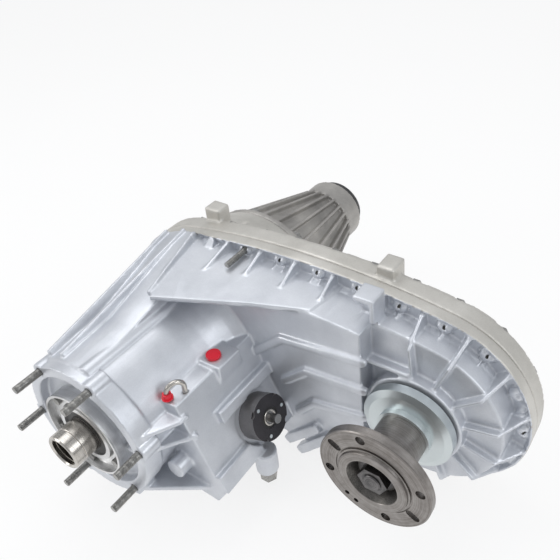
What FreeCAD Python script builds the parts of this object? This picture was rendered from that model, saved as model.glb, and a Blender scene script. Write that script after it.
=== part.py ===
import FreeCAD, Part
import math
import os
import Sketcher

V = FreeCAD.Vector
doc = FreeCAD.newDocument("transfer_case")
sheet = doc.addObject("Spreadsheet::Sheet", "sizes")

# Driving dimensions, in millimetres, degrees and plain counts. Y runs rearward along the main
# shaft from the input mounting face, X towards the front output and Z up.
DRIVING = {
    # Chain case halves
    "axis_distance": 312.7,
    "axis_rise": 4.7,
    "rim_main_x": -12.0,
    "rim_main_z": -8.0,
    "rim_main_radius": 130.0,
    "rim_output_radius": 121.0,
    "rim_top_crown": 1030.0,
    "rim_bottom_crown": 3000.0,
    "rim_front": 230.0,
    "parting": 246.0,
    "rim_rear": 270.0,
    "rear_step": 284.0,
    "shelf_inset": 22.0,
    "rear_step_inset": 12.0,
    "case_wall": 7.0,
    "wall_front": 180.0,
    "floor_front": 205.0,
    "floor_wall": 6.0,
    "hub_rib_crest": 195.0,
    "hub_rib_knee": 97.0,
    "hub_rib_thickness": 4.0,
    "hub_rib_pitch": 27.5,
    "step_x": 254.0,
    "output_hub_radius": 58.0,
    "output_hub_front": 190.0,
    # Input end of the front case
    "stud_circle": 171.45,
    "stud_phase": 8.6,
    "stud_count": 6,
    "stud_diameter": 9.525,
    "stud_reach": 32.0,
    "stud_seat": 20.0,
    "stud_root_growth": 0.4,
    "flange_thickness": 24.0,
    "flange_web": 12.0,
    "flange_radius": 90.0,
    "flange_recess_radius": 76.0,
    "drum_radius": 88.0,
    "drum_bore": 82.0,
    "drum_end": 118.0,
    "flare_radius": 118.0,
    "cone_start": 84.0,
    "cone_radius": 97.0,
    "cone_end_radius": 124.0,
    "cone_side_x": 16.0,
    "gear_room_front": 40.0,
    # Shift box on the side of the front case
    "side_lean": 21.3,
    "side_distance": 107.0,
    "box_front": 50.0,
    "box_top": 44.0,
    "box_lower_edge": -125.0,
    "box_bottom": -100.0,
    "box_wall": 7.0,
    "box_room_front": 92.0,
    # Main line
    "nose_front": -35.4,
    "nose_radius": 22.4,
    "nose_bore": 17.5,
    "spline_depth": 1.0,
    "input_spline_count": 27,
    "retainer_radius": 57.0,
    "retainer_front": -8.0,
    "retainer_pilot": 54.0,
    "input_bearing_radius": 42.5,
    "input_bearing_front": 14.0,
    "input_bearing_width": 19.0,
    "sun_front": 46.0,
    "sun_width": 30.0,
    "gear_module": 1.75,
    "sun_teeth": 50,
    "planet_teeth": 18,
    "planet_count": 4,
    "annulus_rear": 82.0,
    "carrier_plate": 4.0,
    "carrier_radius": 71.5,
    "planet_pin_radius": 6.0,
    "main_radius": 20.0,
    "pilot_radius": 10.0,
    "clutch_radius": 28.5,
    "collar_flange_radius": 38.0,
    "collar_groove_radius": 32.0,
    "collar_groove_front": 94.0,
    "collar_groove_width": 8.0,
    "chain_front": 213.0,
    "chain_width": 31.0,
    "sprocket_teeth": 42,
    "sprocket_tip_radius": 62.5,
    "sprocket_tooth_depth": 4.5,
    "chain_height": 8.0,
    "chain_links": 110,
    "sprocket_journal": 21.0,
    "sleeve_wall": 3.0,
    "mode_hub_front": 254.0,
    "mode_hub_width": 12.0,
    "mode_hub_radius": 33.0,
    "mode_collar_radius": 44.0,
    "pump_front": 287.0,
    "pump_width": 9.0,
    "pump_radius": 44.0,
    "rear_bearing_front": 300.0,
    "rear_bearing_width": 25.0,
    "rear_bearing_radius": 50.0,
    "rear_journal": 22.5,
    "tail_spline_radius": 17.0,
    "tail_end": 478.0,
    # Rear case barrel and extension
    "joint_rear": 330.0,
    "barrel_radius": 118.0,
    "barrel_end_radius": 100.0,
    "extension_flange": 9.0,
    "fin_start_radius": 95.0,
    "fin_end_radius": 53.0,
    "fin_end": 487.0,
    "fin_height": 9.0,
    "fin_thickness": 4.0,
    "fin_count": 24,
    "tail_collar_radius": 50.0,
    "tail_collar_end": 522.0,
    "yoke_radius": 24.0,
    "bushing_wall": 3.0,
    "bushing_length": 26.0,
    "tail_seal_radius": 45.0,
    "tail_seal_end": 536.0,
    # Front output
    "output_bearing_radius": 40.0,
    "output_bearing_width": 18.0,
    "output_bearing_front": 190.0,
    "output_journal": 20.0,
    "output_tail_radius": 15.0,
    "output_tail_bearing_radius": 31.0,
    "output_tail_bearing_front": 252.0,
    "output_tail_bearing_width": 16.0,
    "output_face": 101.6,
    "output_flange_radius": 65.0,
    "output_flange_thickness": 10.8,
    "output_hub_sleeve": 28.5,
    "output_spline_radius": 14.0,
    "output_bolt_circle": 109.2,
    "output_bolt_phase": 104.3,
    "output_bolt_hole": 5.5,
    "output_pilot_radius": 41.3,
    "output_pilot_depth": 3.0,
    "shaft_front": 97.0,
    "shield_radius": 54.0,
    "shield_rear": 186.7,
    "shield_front": 165.0,
    # Selector
    "selector_y": 136.4,
    "selector_height": -83.1,
    "selector_seat": 106.0,
    "selector_depth": 24.3,
    "selector_radius": 28.2,
    "selector_shaft_radius": 7.0,
    "selector_end_radius": 5.5,
    "selector_inside": 84.0,
    "selector_reach": 13.0,
    # Shift rail inside
    "rail_x": 92.0,
    "rail_z": -38.0,
    "rail_radius": 8.0,
    # Fasteners and fits
    "case_bolt_count": 26,
    "case_bolt_phase": 7.2,
    "case_stud_x": 62.0,
    "case_bolt_inset": 9.8,
    "case_bolt_radius": 4.5,
    "case_bolt_pad": 225.0,
    "case_bolt_cover": 3.5,
    "case_stud_reach": 28.0,
    "pad_radius": 9.5,
    "dowel_radius": 4.0,
    "dowel_depth": 8.0,
    "vent_x": 92.0,
    "vent_y": 73.0,
    "vent_span": 20.0,
    "vent_radius": 3.0,
    "plug_x": 86.0,
    "plug_y": 128.0,
    "plug_radius": 7.5,
    "drain_x": 150.0,
    "drain_y": 120.0,
    "drain_z": -106.0,
    "running_gap": 0.05,
    "seat_gap": 0.02,
    "mesh_gap": 0.3,
}


class Size:
    """A value that keeps the sheet formula it comes from."""

    def __init__(self, formula, value):
        self.formula = formula
        self.value = float(value)

    def joined(self, sign, other, value):
        return Size(f"({self.formula} {sign} {other.formula})", value)

    def __add__(self, other):
        other = sized(other)
        return self.joined("+", other, self.value + other.value)

    def __radd__(self, other):
        return sized(other) + self

    def __sub__(self, other):
        other = sized(other)
        return self.joined("-", other, self.value - other.value)

    def __rsub__(self, other):
        return sized(other) - self

    def __mul__(self, other):
        other = sized(other)
        return self.joined("*", other, self.value * other.value)

    def __rmul__(self, other):
        return sized(other) * self

    def __truediv__(self, other):
        other = sized(other)
        return self.joined("/", other, self.value / other.value)

    def __rtruediv__(self, other):
        return sized(other) / self

    def __neg__(self):
        return Size(f"(-{self.formula})", -self.value)


class Sheet:
    """Gives each alias of the sheet as a Size."""

    def __getattr__(self, alias):
        return Size(f"sizes.{alias}", sheet.get(alias))


def sized(number):
    if isinstance(number, Size):
        return number
    return Size(f"({number})", number)


def sine(angle):
    angle = sized(angle)
    return Size(f"sin({angle.formula})", math.sin(math.radians(angle.value)))


def cosine(angle):
    angle = sized(angle)
    return Size(f"cos({angle.formula})", math.cos(math.radians(angle.value)))


for row, (alias, number) in enumerate(DRIVING.items(), 1):
    sheet.set(f"A{row}", alias.replace("_", " "))
    sheet.set(f"B{row}", str(number))
    sheet.setAlias(f"B{row}", alias)
doc.recompute()
s = Sheet()

NODES = []


def node(label, item):
    """Names a finished piece, which is then checked and written."""
    item.Label = label
    NODES.append(item)
    return item


def bind(item, name, value):
    item.setExpression(name, sized(value).formula)


def place(item, x=0, y=0, z=0, axis=V(0, 0, 1), angle=0):
    x, y, z, angle = (sized(value) for value in (x, y, z, angle))
    item.Placement = FreeCAD.Placement(
        V(x.value, y.value, z.value), FreeCAD.Rotation(axis, angle.value))
    bind(item, "Placement.Base.x", x)
    bind(item, "Placement.Base.y", y)
    bind(item, "Placement.Base.z", z)
    if "sizes." in angle.formula:
        bind(item, "Placement.Rotation.Angle", angle)
    return item


# Primitives and booleans
def cylinder(name, radius, front, rear, x=0, z=0):
    """A round bar along Y."""
    item = doc.addObject("Part::Cylinder", name)
    bind(item, "Radius", radius)
    bind(item, "Height", rear - sized(front))
    return place(item, x, front, z, V(1, 0, 0), -90)


def block(name, x0, x1, y0, y1, z0, z1):
    item = doc.addObject("Part::Box", name)
    bind(item, "Length", x1 - sized(x0))
    bind(item, "Width", y1 - sized(y0))
    bind(item, "Height", z1 - sized(z0))
    return place(item, x0, y0, z0)


def bar(name, x0, z0, x1, z1, width, front, rear):
    """A straight rib on a wall across Y, from one point to another."""
    item = doc.addObject("Part::Box", name)
    turn = math.degrees(math.atan2(z1 - z0, x1 - x0))
    item.Length = math.hypot(x1 - x0, z1 - z0)
    bind(item, "Width", rear - sized(front))
    bind(item, "Height", width)
    lift = sized(width) * 0.5
    return place(item, x0 + lift * math.sin(math.radians(turn)), front,
                 z0 - lift * math.cos(math.radians(turn)), V(0, 1, 0), -turn)


def fin(name, thickness, low, high_front, high_rear, front, rear, x=0, z=0, angle=0):
    """A rib that stands out from a line along Y, sloping from one height to another."""
    item = doc.addObject("Part::Wedge", name)
    for end in ("Xmin", "X2min"):
        bind(item, end, sized(thickness) * -0.5)
    for end in ("Xmax", "X2max"):
        bind(item, end, sized(thickness) * 0.5)
    bind(item, "Ymin", 0)
    bind(item, "Ymax", rear - sized(front))
    for end in ("Zmin", "Z2min"):
        bind(item, end, low)
    bind(item, "Zmax", high_front)
    bind(item, "Z2max", high_rear)
    return place(item, x, front, z, V(0, 1, 0), 90 - sized(angle))


def leaning(name, low, high, front, rear, bottom, top):
    """A block square to the leaning side face: outwards, along Y, and up the face."""
    item = doc.addObject("Part::Box", name)
    bind(item, "Length", high - sized(low))
    bind(item, "Width", rear - sized(front))
    bind(item, "Height", top - sized(bottom))
    x = low * cosine(s.side_lean) - bottom * sine(s.side_lean)
    z = low * sine(s.side_lean) + bottom * cosine(s.side_lean)
    return place(item, x, front, z, V(0, 1, 0), -s.side_lean)


def joined(name, items):
    item = doc.addObject("Part::MultiFuse", name)
    item.Shapes = items
    item.Refine = True
    return item


def cut(name, base, tools):
    item = doc.addObject("Part::Cut", name)
    item.Base = base
    item.Tool = tools[0] if len(tools) == 1 else joined(name + "_tools", tools)
    item.Refine = True
    return item


def common(name, first, second):
    item = doc.addObject("Part::Common", name)
    item.Base = first
    item.Tool = second
    return item


# Sketched bodies
def sketch_on(body, role, name, offset=0):
    sketch = body.newObject("Sketcher::SketchObject", name)
    plane = [item for item in body.Origin.OriginFeatures if item.Role == role][0]
    sketch.AttachmentSupport = [(plane, "")]
    sketch.MapMode = "FlatFace"
    offset = sized(offset)
    sketch.AttachmentOffset = FreeCAD.Placement(V(0, 0, offset.value), FreeCAD.Rotation())
    bind(sketch, "AttachmentOffset.Base.z", offset)
    return sketch


def fix_point(sketch, line, end, x, y):
    for kind, value in (("DistanceX", sized(x)), ("DistanceY", sized(y))):
        index = sketch.addConstraint(Sketcher.Constraint(kind, line, end, value.value))
        sketch.setExpression(f"Constraints[{index}]", value.formula)


def polygon(sketch, points):
    """A closed outline of straight lines whose corners follow the sheet."""
    corners = [V(sized(x).value, sized(y).value, 0) for x, y in points]
    lines = []
    for start, stop in zip(corners, corners[1:] + corners[:1]):
        lines.append(sketch.addGeometry(Part.LineSegment(start, stop), False))
    for line, (x, y), following in zip(lines, points, lines[1:] + lines[:1]):
        sketch.addConstraint(Sketcher.Constraint("Coincident", line, 2, following, 1))
        fix_point(sketch, line, 1, x, y)


def turned(name, points, x=0, z=0):
    """A piece turned about a line along Y, from its half outline of radius and place."""
    body = doc.addObject("PartDesign::Body", name)
    sketch = sketch_on(body, "XY_Plane", name + "_outline")
    polygon(sketch, points)
    spin = body.newObject("PartDesign::Revolution", name + "_turning")
    spin.Profile = sketch
    spin.ReferenceAxis = (sketch, ["V_Axis"])
    spin.Angle = 360
    return place(body, x, 0, z)


def ring(name, inner, outer, front, rear, x=0, z=0):
    return turned(name, [(inner, front), (outer, front), (outer, rear), (inner, rear)], x, z)


def slab(name, points, front, rear):
    """A plate across Y with a straight-sided outline in X and Z."""
    body = doc.addObject("PartDesign::Body", name)
    sketch = sketch_on(body, "XZ_Plane", name + "_outline", -sized(front))
    polygon(sketch, points)
    pad = body.newObject("PartDesign::Pad", name + "_pad")
    pad.Profile = sketch
    pad.Reversed = True
    bind(pad, "Length", rear - sized(front))
    return body


def shelf(name, points, low, high):
    """A level plate with a straight-sided outline in X and Y."""
    body = doc.addObject("PartDesign::Body", name)
    sketch = sketch_on(body, "XY_Plane", name + "_outline", low)
    polygon(sketch, points)
    pad = body.newObject("PartDesign::Pad", name + "_pad")
    pad.Profile = sketch
    bind(pad, "Length", high - sized(low))
    return body


def case_arcs(inset):
    """Centre, radius and end angles of the four arcs round both shafts, counter-clockwise."""
    main = V(s.rim_main_x.value, s.rim_main_z.value, 0)
    output = V(s.axis_distance.value, s.axis_rise.value, 0)
    main_radius = s.rim_main_radius.value
    output_radius = s.rim_output_radius.value
    along = (output - main).normalize()
    across = V(-along.y, along.x, 0)
    span = (output - main).Length
    centres = {}
    for side, crown in ((-1, s.rim_top_crown.value), (1, s.rim_bottom_crown.value)):
        reach = crown - main_radius
        far = crown - output_radius
        foot = (span ** 2 + reach ** 2 - far ** 2) / (2 * span)
        rise = math.sqrt(reach ** 2 - foot ** 2)
        centres[side] = main + along * foot + across * (side * rise)

    def heading(point, away):
        gap = point - away
        return math.atan2(gap.y, gap.x)

    top, bottom = centres[-1], centres[1]
    main_top = heading(main, top)
    main_bottom = heading(main, bottom) % (2 * math.pi)
    output_bottom = heading(output, bottom)
    output_top = heading(output, top)
    return [
        (main, main_radius - inset, main_top, main_bottom),
        (bottom, s.rim_bottom_crown.value - inset, main_bottom - 2 * math.pi, output_bottom),
        (output, output_radius - inset, output_bottom, output_top),
        (top, s.rim_top_crown.value - inset, output_top, main_top),
    ]


def case_plate(name, inset, front, rear):
    """A plate with the outline of the chain case, a set distance inside its rim."""
    inset = sized(inset)
    body = doc.addObject("PartDesign::Body", name)
    sketch = sketch_on(body, "XZ_Plane", name + "_outline", -sized(front))
    arcs = []
    for centre, radius, start, stop in case_arcs(inset.value):
        circle = Part.Circle(centre, V(0, 0, 1), radius)
        arcs.append(sketch.addGeometry(Part.ArcOfCircle(circle, start, stop), False))
    for arc, following in zip(arcs, arcs[1:] + arcs[:1]):
        sketch.addConstraint(Sketcher.Constraint("Tangent", arc, 2, following, 1))
    fix_point(sketch, arcs[0], 3, s.rim_main_x, s.rim_main_z)
    fix_point(sketch, arcs[2], 3, s.axis_distance, s.axis_rise)
    radii = [s.rim_main_radius, s.rim_bottom_crown, s.rim_output_radius, s.rim_top_crown]
    for arc, radius in zip(arcs, radii):
        value = radius - inset
        index = sketch.addConstraint(Sketcher.Constraint("Radius", arc, value.value))
        sketch.setExpression(f"Constraints[{index}]", value.formula)
    pad = body.newObject("PartDesign::Pad", name + "_pad")
    pad.Profile = sketch
    pad.Reversed = True
    bind(pad, "Length", rear - sized(front))
    return body


def along_rim(inset, count, phase):
    """Points spaced evenly round the case outline, with the outward angle at each."""
    arcs = case_arcs(inset)
    lengths = [radius * (stop - start) for centre, radius, start, stop in arcs]
    places = []
    for index in range(count):
        distance = (phase + index * sum(lengths) / count) % sum(lengths)
        for (centre, radius, start, stop), length in zip(arcs, lengths):
            if distance <= length:
                angle = start + distance / radius
                break
            distance -= length
        places.append((centre.x + radius * math.cos(angle),
                       centre.y + radius * math.sin(angle), math.degrees(angle)))
    return places


def on_circle(radius, count, phase, x=0, z=0):
    """Centres spaced evenly round a circle about a line along Y."""
    places = []
    for index in range(int(sized(count).value)):
        angle = phase + index * 360 / sized(count)
        places.append((x + radius * cosine(angle), z + radius * sine(angle)))
    return places


output_x = s.axis_distance
output_z = s.axis_rise
rim_bolts = along_rim(s.case_bolt_inset.value, int(s.case_bolt_count.value), s.case_bolt_phase.value)
stud_places = on_circle(s.stud_circle / 2, s.stud_count, s.stud_phase)
stud_radius = s.stud_diameter / 2
stud_root = stud_radius + s.stud_root_growth
stud_index = min(range(len(rim_bolts)), key=lambda index: abs(
    rim_bolts[index][0] - s.case_stud_x.value) + max(0, -rim_bolts[index][1]))


# Front case: one aluminium casting that holds the planetary drum, the shift box and half of the
# chain case.
def flare(name, start, rear, low, high, floor):
    """A trumpet-shaped turn that swells from the drum to the wall behind it."""
    depth = rear - start
    points = [(floor, start)]
    for step in range(7):
        share = math.radians(90 * step / 6)
        points.append((low + (high - low) * (1 - math.cos(share)), start + depth * math.sin(share)))
    points.append((floor, rear))
    return turned(name, points)


def front_case_outside():
    pieces = [
        case_plate("front_rim", 0, s.rim_front, s.parting),
        case_plate("front_chain_wall", s.shelf_inset, s.floor_front, s.parting),
        common("front_wall_plate", case_plate("front_wall", s.shelf_inset, s.wall_front, s.rim_front),
               block("front_wall_reach", -200, s.step_x, s.wall_front - 1, s.parting, -200, 200)),
    ]
    flange = cylinder("mounting_flange", s.flange_radius, 0, s.flange_thickness)
    recess = cylinder("mounting_recess", s.flange_recess_radius, -1, s.flange_web)
    pieces.append(cut("hollow_flange", flange, [recess]))
    for index, (x, z) in enumerate(stud_places):
        pieces.append(cylinder(f"stud_boss_{index}", stud_radius + 5.5, 0, s.flange_thickness, x, z))
    pieces.append(turned("drum", [
        (0, s.flange_web), (s.drum_radius, s.flange_web), (s.drum_radius, s.rim_front),
        (0, s.rim_front)]))
    pieces.append(flare("drum_flare", s.drum_end, s.wall_front + 6, s.drum_radius,
                        s.flare_radius, s.drum_radius - 4))
    cone = turned("snout_cone", [
        (0, s.flange_web), (s.drum_radius + 4, s.flange_web), (s.cone_radius, s.cone_start),
        (s.cone_end_radius, 200), (s.cone_end_radius + 4, s.rim_front), (0, s.rim_front)])
    pieces.append(cylinder("drum_ridge", 11, s.flange_web, s.wall_front, 13, s.drum_radius - 5))
    side = block("cone_side", s.cone_side_x, 200, -10, s.wall_front, -200, 200)
    pieces.append(cut("snout", cone, [side]))
    pieces += shift_box()
    pieces += outside_ribs()
    pieces.append(cylinder("output_hub", s.output_hub_radius, s.output_hub_front,
                           s.parting - 20, output_x, output_z))
    pieces.append(cylinder("seal_collar", s.output_bearing_radius + 4, s.shield_rear - 6,
                           s.output_hub_front + 1, output_x, output_z))
    return joined("front_case_outside", pieces)


def shift_box():
    """The leaning box beside the drum, where the selector shaft comes out."""
    lean_cos = cosine(s.side_lean)
    lean_sin = sine(s.side_lean)
    top_x = (s.side_distance - s.box_top * lean_sin) / lean_cos
    low_x = s.side_distance * lean_cos - s.box_lower_edge * lean_sin
    low_z = s.side_distance * lean_sin + s.box_lower_edge * lean_cos
    outline = [(0, 0), (0, s.box_top), (top_x, s.box_top), (low_x, low_z),
               (low_x - 14, s.box_bottom), (30, s.box_bottom + 8), (30, 0)]
    body = slab("box_body", outline, s.box_front, s.rim_front)
    raised = block("plug_pad", 66, top_x + 8, 114, 152, 20, s.box_top + 3)
    chimney = cylinder("selector_boss", s.selector_radius + 5, 0, 12)
    seat = s.selector_seat
    place(chimney, (seat - 12) * lean_cos - s.selector_height * lean_sin, s.selector_y,
          (seat - 12) * lean_sin + s.selector_height * lean_cos, V(0, 1, 0), 90 - s.side_lean)
    side = s.side_distance
    upper = leaning("side_rib_upper", side - 2, side + 9, 88, s.wall_front + 1, -51, -36)
    lower = leaning("side_rib_lower", side - 2, side + 8, s.box_front, 120, -122, -98)
    rear = leaning("side_rib_rear", side - 2, side + 6, 158, s.wall_front + 1, -122, -98)
    drain = doc.addObject("Part::Cylinder", "drain_boss")
    bind(drain, "Radius", 14)
    bind(drain, "Height", 34)
    place(drain, s.drain_x, s.drain_y, s.drain_z)
    return [body, raised, chimney, upper, lower, rear, drain]


# Crest lines of the ribs cast on the wall between the shafts: start, knee and end.
WALL_RIBS = [
    ((107, 24), (149, 62), (258, 76)),
    ((145, -9), (180, 24), (258, 32)),
    ((162, -55), (188, -26), (258, -11)),
]


def outside_ribs():
    pieces = []
    crest = s.wall_front - 6
    for index, (start, knee, end) in enumerate(WALL_RIBS):
        first = (*start, *knee)
        second = (*knee, *end)
        for half, line in enumerate((first, second)):
            pieces.append(bar(f"wall_rib_{index}_{half}", *line, 7, crest, s.wall_front + 2))
        pieces.append(cylinder(f"wall_rib_knee_{index}", 3.5, crest, s.wall_front + 2, *knee))
    for index, (x0, z0, x1, z1) in enumerate([(140, -118, 187, -70), (158, -128, 206, -76)]):
        pieces.append(bar(f"low_rib_{index}", x0, z0, x1, z1, 12, s.wall_front - 8, s.wall_front + 4))
    # Gussets from the mounting flange to the shift box
    for index, (z, near, far) in enumerate([(25, 76, 108), (0, 80, 118)]):
        outline = [(60, 4), (near, 4), (far, 56), (60, 56)]
        pieces.append(shelf(f"flange_gusset_{index}", outline, z, z + 5))
    web = [(40, 8), (58, 8), (136, 54), (136, 70), (40, 70)]
    pieces.append(shelf("flange_web_low", web, -80, -74))
    pieces.append(cylinder("blind_boss", 12, 32, 56, 92, -46))
    # Shelf over the drum, with its slanting front edge
    edge = [(-20, 232), (-8, 160), (15, 115), (124, 161), (190, 184), (200, 232)]
    pieces.append(shelf("shelf_plate", edge, 108, 113))
    # Gussets between the shelf and the rim
    top = s.rim_output_radius + s.axis_rise
    for index, (x, foot, crest_lift) in enumerate(
            [(-14, 160, -8), (37, 178, 0), (87, 181, 6), (138, 186, 9), (190, 190, 9)]):
        pieces.append(fin(f"shelf_rib_{index}", 4.5, 88, 112, top + crest_lift, foot, s.rim_front + 2,
                          x, 0, 90))
        pieces.append(fin(f"under_rib_{index}", 5, 88, 106, top - 6, foot, s.rim_front + 2,
                          x, 0, 270))
    # Radial ribs round the output hub
    rim = s.rim_output_radius - 2
    half = s.hub_rib_thickness / 2
    crest_line = [(s.output_hub_radius - 6, s.hub_rib_crest), (s.hub_rib_knee, s.hub_rib_crest),
                  (rim, s.rim_front), (rim, s.rim_front + 2), (s.output_hub_radius - 6, s.rim_front + 2)]
    for index in range(10):
        rib = shelf(f"hub_rib_{index}", crest_line, -half, half)
        turn = s.hub_rib_pitch * index - 95.5
        pieces.append(place(rib, output_x, 0, output_z, V(0, 1, 0), turn))
    pieces.append(block("cross_shelf", s.step_x - 2, 306, s.hub_rib_crest - 3, s.floor_front + 2, 62, 67))
    # Ribs that run down the snout
    for index, (angle, start, lift) in enumerate([(106, 16, 10), (122, 16, 12), (140, 30, 10)]):
        pieces.append(fin(f"snout_rib_{index}", 6, 70, s.drum_radius + lift,
                          s.cone_end_radius + lift - 2, start, s.rim_front, 0, 0, angle))
    for index, angle in enumerate([164, 188, 212, 236, 258]):
        pieces.append(fin(f"back_rib_{index}", 6, 70, s.drum_radius + 7, s.cone_end_radius + 5,
                          20, s.rim_front, 0, 0, angle))
    # Square lug on the rim
    pieces.append(block("front_lug", 238, 263, 195, 222, 104, 149))
    pieces.append(block("front_lug_web", 244, 257, 215, s.rim_front + 2, 104, 134))
    return pieces


def front_case_room():
    wall = s.case_wall
    inner = s.shelf_inset + wall
    rooms = [
        case_plate("front_chain_room", inner, s.floor_front + s.floor_wall, s.parting + 1),
        common("front_wall_room",
               case_plate("front_wall_void", inner, s.wall_front + wall, s.floor_front + wall + 1),
               block("front_room_reach", -200, s.step_x - wall, 100, s.parting, -200, 200)),
        cylinder("annulus_seat", s.drum_bore, s.gear_room_front, s.parting - 4),
    ]
    cone_room = turned("cone_room", [
        (0, s.cone_start + 20), (s.drum_bore, s.cone_start + 20), (s.cone_end_radius - 10, 196),
        (0, 196)])
    cone_side = block("cone_room_side", s.cone_side_x - wall, 200, 10, s.wall_front + 2, -200, 200)
    rooms.append(cut("snout_room", cone_room, [cone_side]))
    lean_cos = cosine(s.side_lean)
    lean_sin = sine(s.side_lean)
    inner_side = s.side_distance - s.box_wall
    top = s.box_top - s.box_wall
    low = s.box_lower_edge + s.box_wall + 2
    outline = [
        (20, top), ((inner_side - top * lean_sin) / lean_cos, top),
        (inner_side * lean_cos - low * lean_sin, inner_side * lean_sin + low * lean_cos),
        (118, s.box_bottom + s.box_wall + 6), (20, s.box_bottom + s.box_wall + 12)]
    rooms.append(slab("shift_room", outline, s.box_room_front, s.floor_front))
    return rooms


def front_case_bores():
    gap = s.seat_gap
    run = s.running_gap
    bores = [
        cylinder("retainer_bore", s.retainer_pilot + gap, 0, s.input_bearing_front),
        cylinder("input_bearing_bore", s.input_bearing_radius + gap, s.flange_web,
                 s.input_bearing_front + s.input_bearing_width),
        cylinder("input_shaft_bore", 36, s.flange_web, s.gear_room_front + 1),
        cylinder("output_bearing_bore", s.output_bearing_radius + gap, s.output_bearing_front,
                 s.parting, output_x, output_z),
        cylinder("output_seal_bore", s.output_hub_sleeve + 6 + gap, s.shield_rear - 8,
                 s.output_bearing_front + 1, output_x, output_z),
        cylinder("rail_front_bore", s.rail_radius + run, s.box_room_front - 12,
                 s.box_room_front + 1, s.rail_x, s.rail_z),
    ]
    for index, (x, z) in enumerate(stud_places):
        bores.append(cylinder(f"stud_bore_{index}", stud_root, -1, s.stud_seat, x, z))
    for index, (x, z) in enumerate(retainer_bolt_places()):
        bores.append(cylinder(f"retainer_tap_{index}", retainer_bolt_radius + run, s.flange_web - 1,
                              s.flange_web + 14, x, z))
    for index, (x, z, angle) in enumerate(rim_bolts):
        mouth = s.case_bolt_pad + s.case_bolt_cover
        if index == stud_index:
            mouth = s.case_bolt_pad - 1
        bores.append(cylinder(f"case_bolt_bore_{index}", s.case_bolt_radius + run, mouth,
                              s.parting + 1, x, z))
        bores.append(cylinder(f"case_bolt_dimple_{index}", s.case_bolt_radius * 0.45,
                              s.case_bolt_pad - 1, mouth + 0.5, x, z))
    seat = s.selector_seat
    lean_cos = cosine(s.side_lean)
    lean_sin = sine(s.side_lean)
    for name, radius, low, high in [
            ("selector_case_bore", s.selector_shaft_radius + run, seat - 40, seat + 20),
            ("selector_face", s.selector_radius + 6, seat, seat + 40)]:
        tool = cylinder(name, radius, 0, high - low)
        place(tool, low * lean_cos - s.selector_height * lean_sin, s.selector_y,
              low * lean_sin + s.selector_height * lean_cos, V(0, 1, 0), 90 - s.side_lean)
        bores.append(tool)
    plug = doc.addObject("Part::Cylinder", "plug_bore")
    bind(plug, "Radius", s.plug_radius + run)
    bind(plug, "Height", 30)
    bores.append(place(plug, s.plug_x, s.plug_y, s.box_top - 12))
    vent = doc.addObject("Part::Cylinder", "vent_bore")
    bind(vent, "Radius", s.vent_radius + run)
    bind(vent, "Height", 30)
    bores.append(place(vent, s.vent_x, s.vent_y, s.box_top - 10))
    drain = doc.addObject("Part::Cylinder", "drain_bore")
    bind(drain, "Radius", 9 + run)
    bind(drain, "Height", 24)
    bores.append(place(drain, s.drain_x, s.drain_y, s.drain_z - 1))
    for index, (x, z) in enumerate(dowel_places()):
        bores.append(cylinder(f"front_dowel_bore_{index}", s.dowel_radius + s.seat_gap,
                              s.parting - s.dowel_depth, s.parting + 1, x, z))
    return bores


retainer_bolt_radius = s.case_bolt_radius - 1.5


def retainer_bolt_places():
    return on_circle(s.input_bearing_radius + 5.2, 6, 20)


def dowel_places():
    """Two places half-way between bolts, at opposite ends of the case."""
    pitch_shift = s.case_bolt_phase.value + 27
    places = along_rim(s.case_bolt_inset.value, int(s.case_bolt_count.value), pitch_shift)
    count = len(places)
    return [places[index][:2] for index in (count // 8, count * 5 // 8)]


def rim_pads():
    pads = []
    for index, (x, z, angle) in enumerate(rim_bolts):
        pads.append(cylinder(f"bolt_pad_{index}", s.pad_radius, s.case_bolt_pad, s.rim_front + 2, x, z))
    return pads


def make_front_case():
    outside = front_case_outside()
    hollow = cut("front_case_hollow", outside, front_case_room())
    bosses = [
        hollow,
        cylinder("output_bearing_boss", s.output_bearing_radius + 8, s.floor_front - 2,
                 s.output_bearing_front + s.output_bearing_width, output_x, output_z),
    ] + rim_pads()
    solid = joined("front_case_bosses", bosses)
    node("front_case", cut("front_case_cast", solid, front_case_bores()))


make_front_case()


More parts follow.
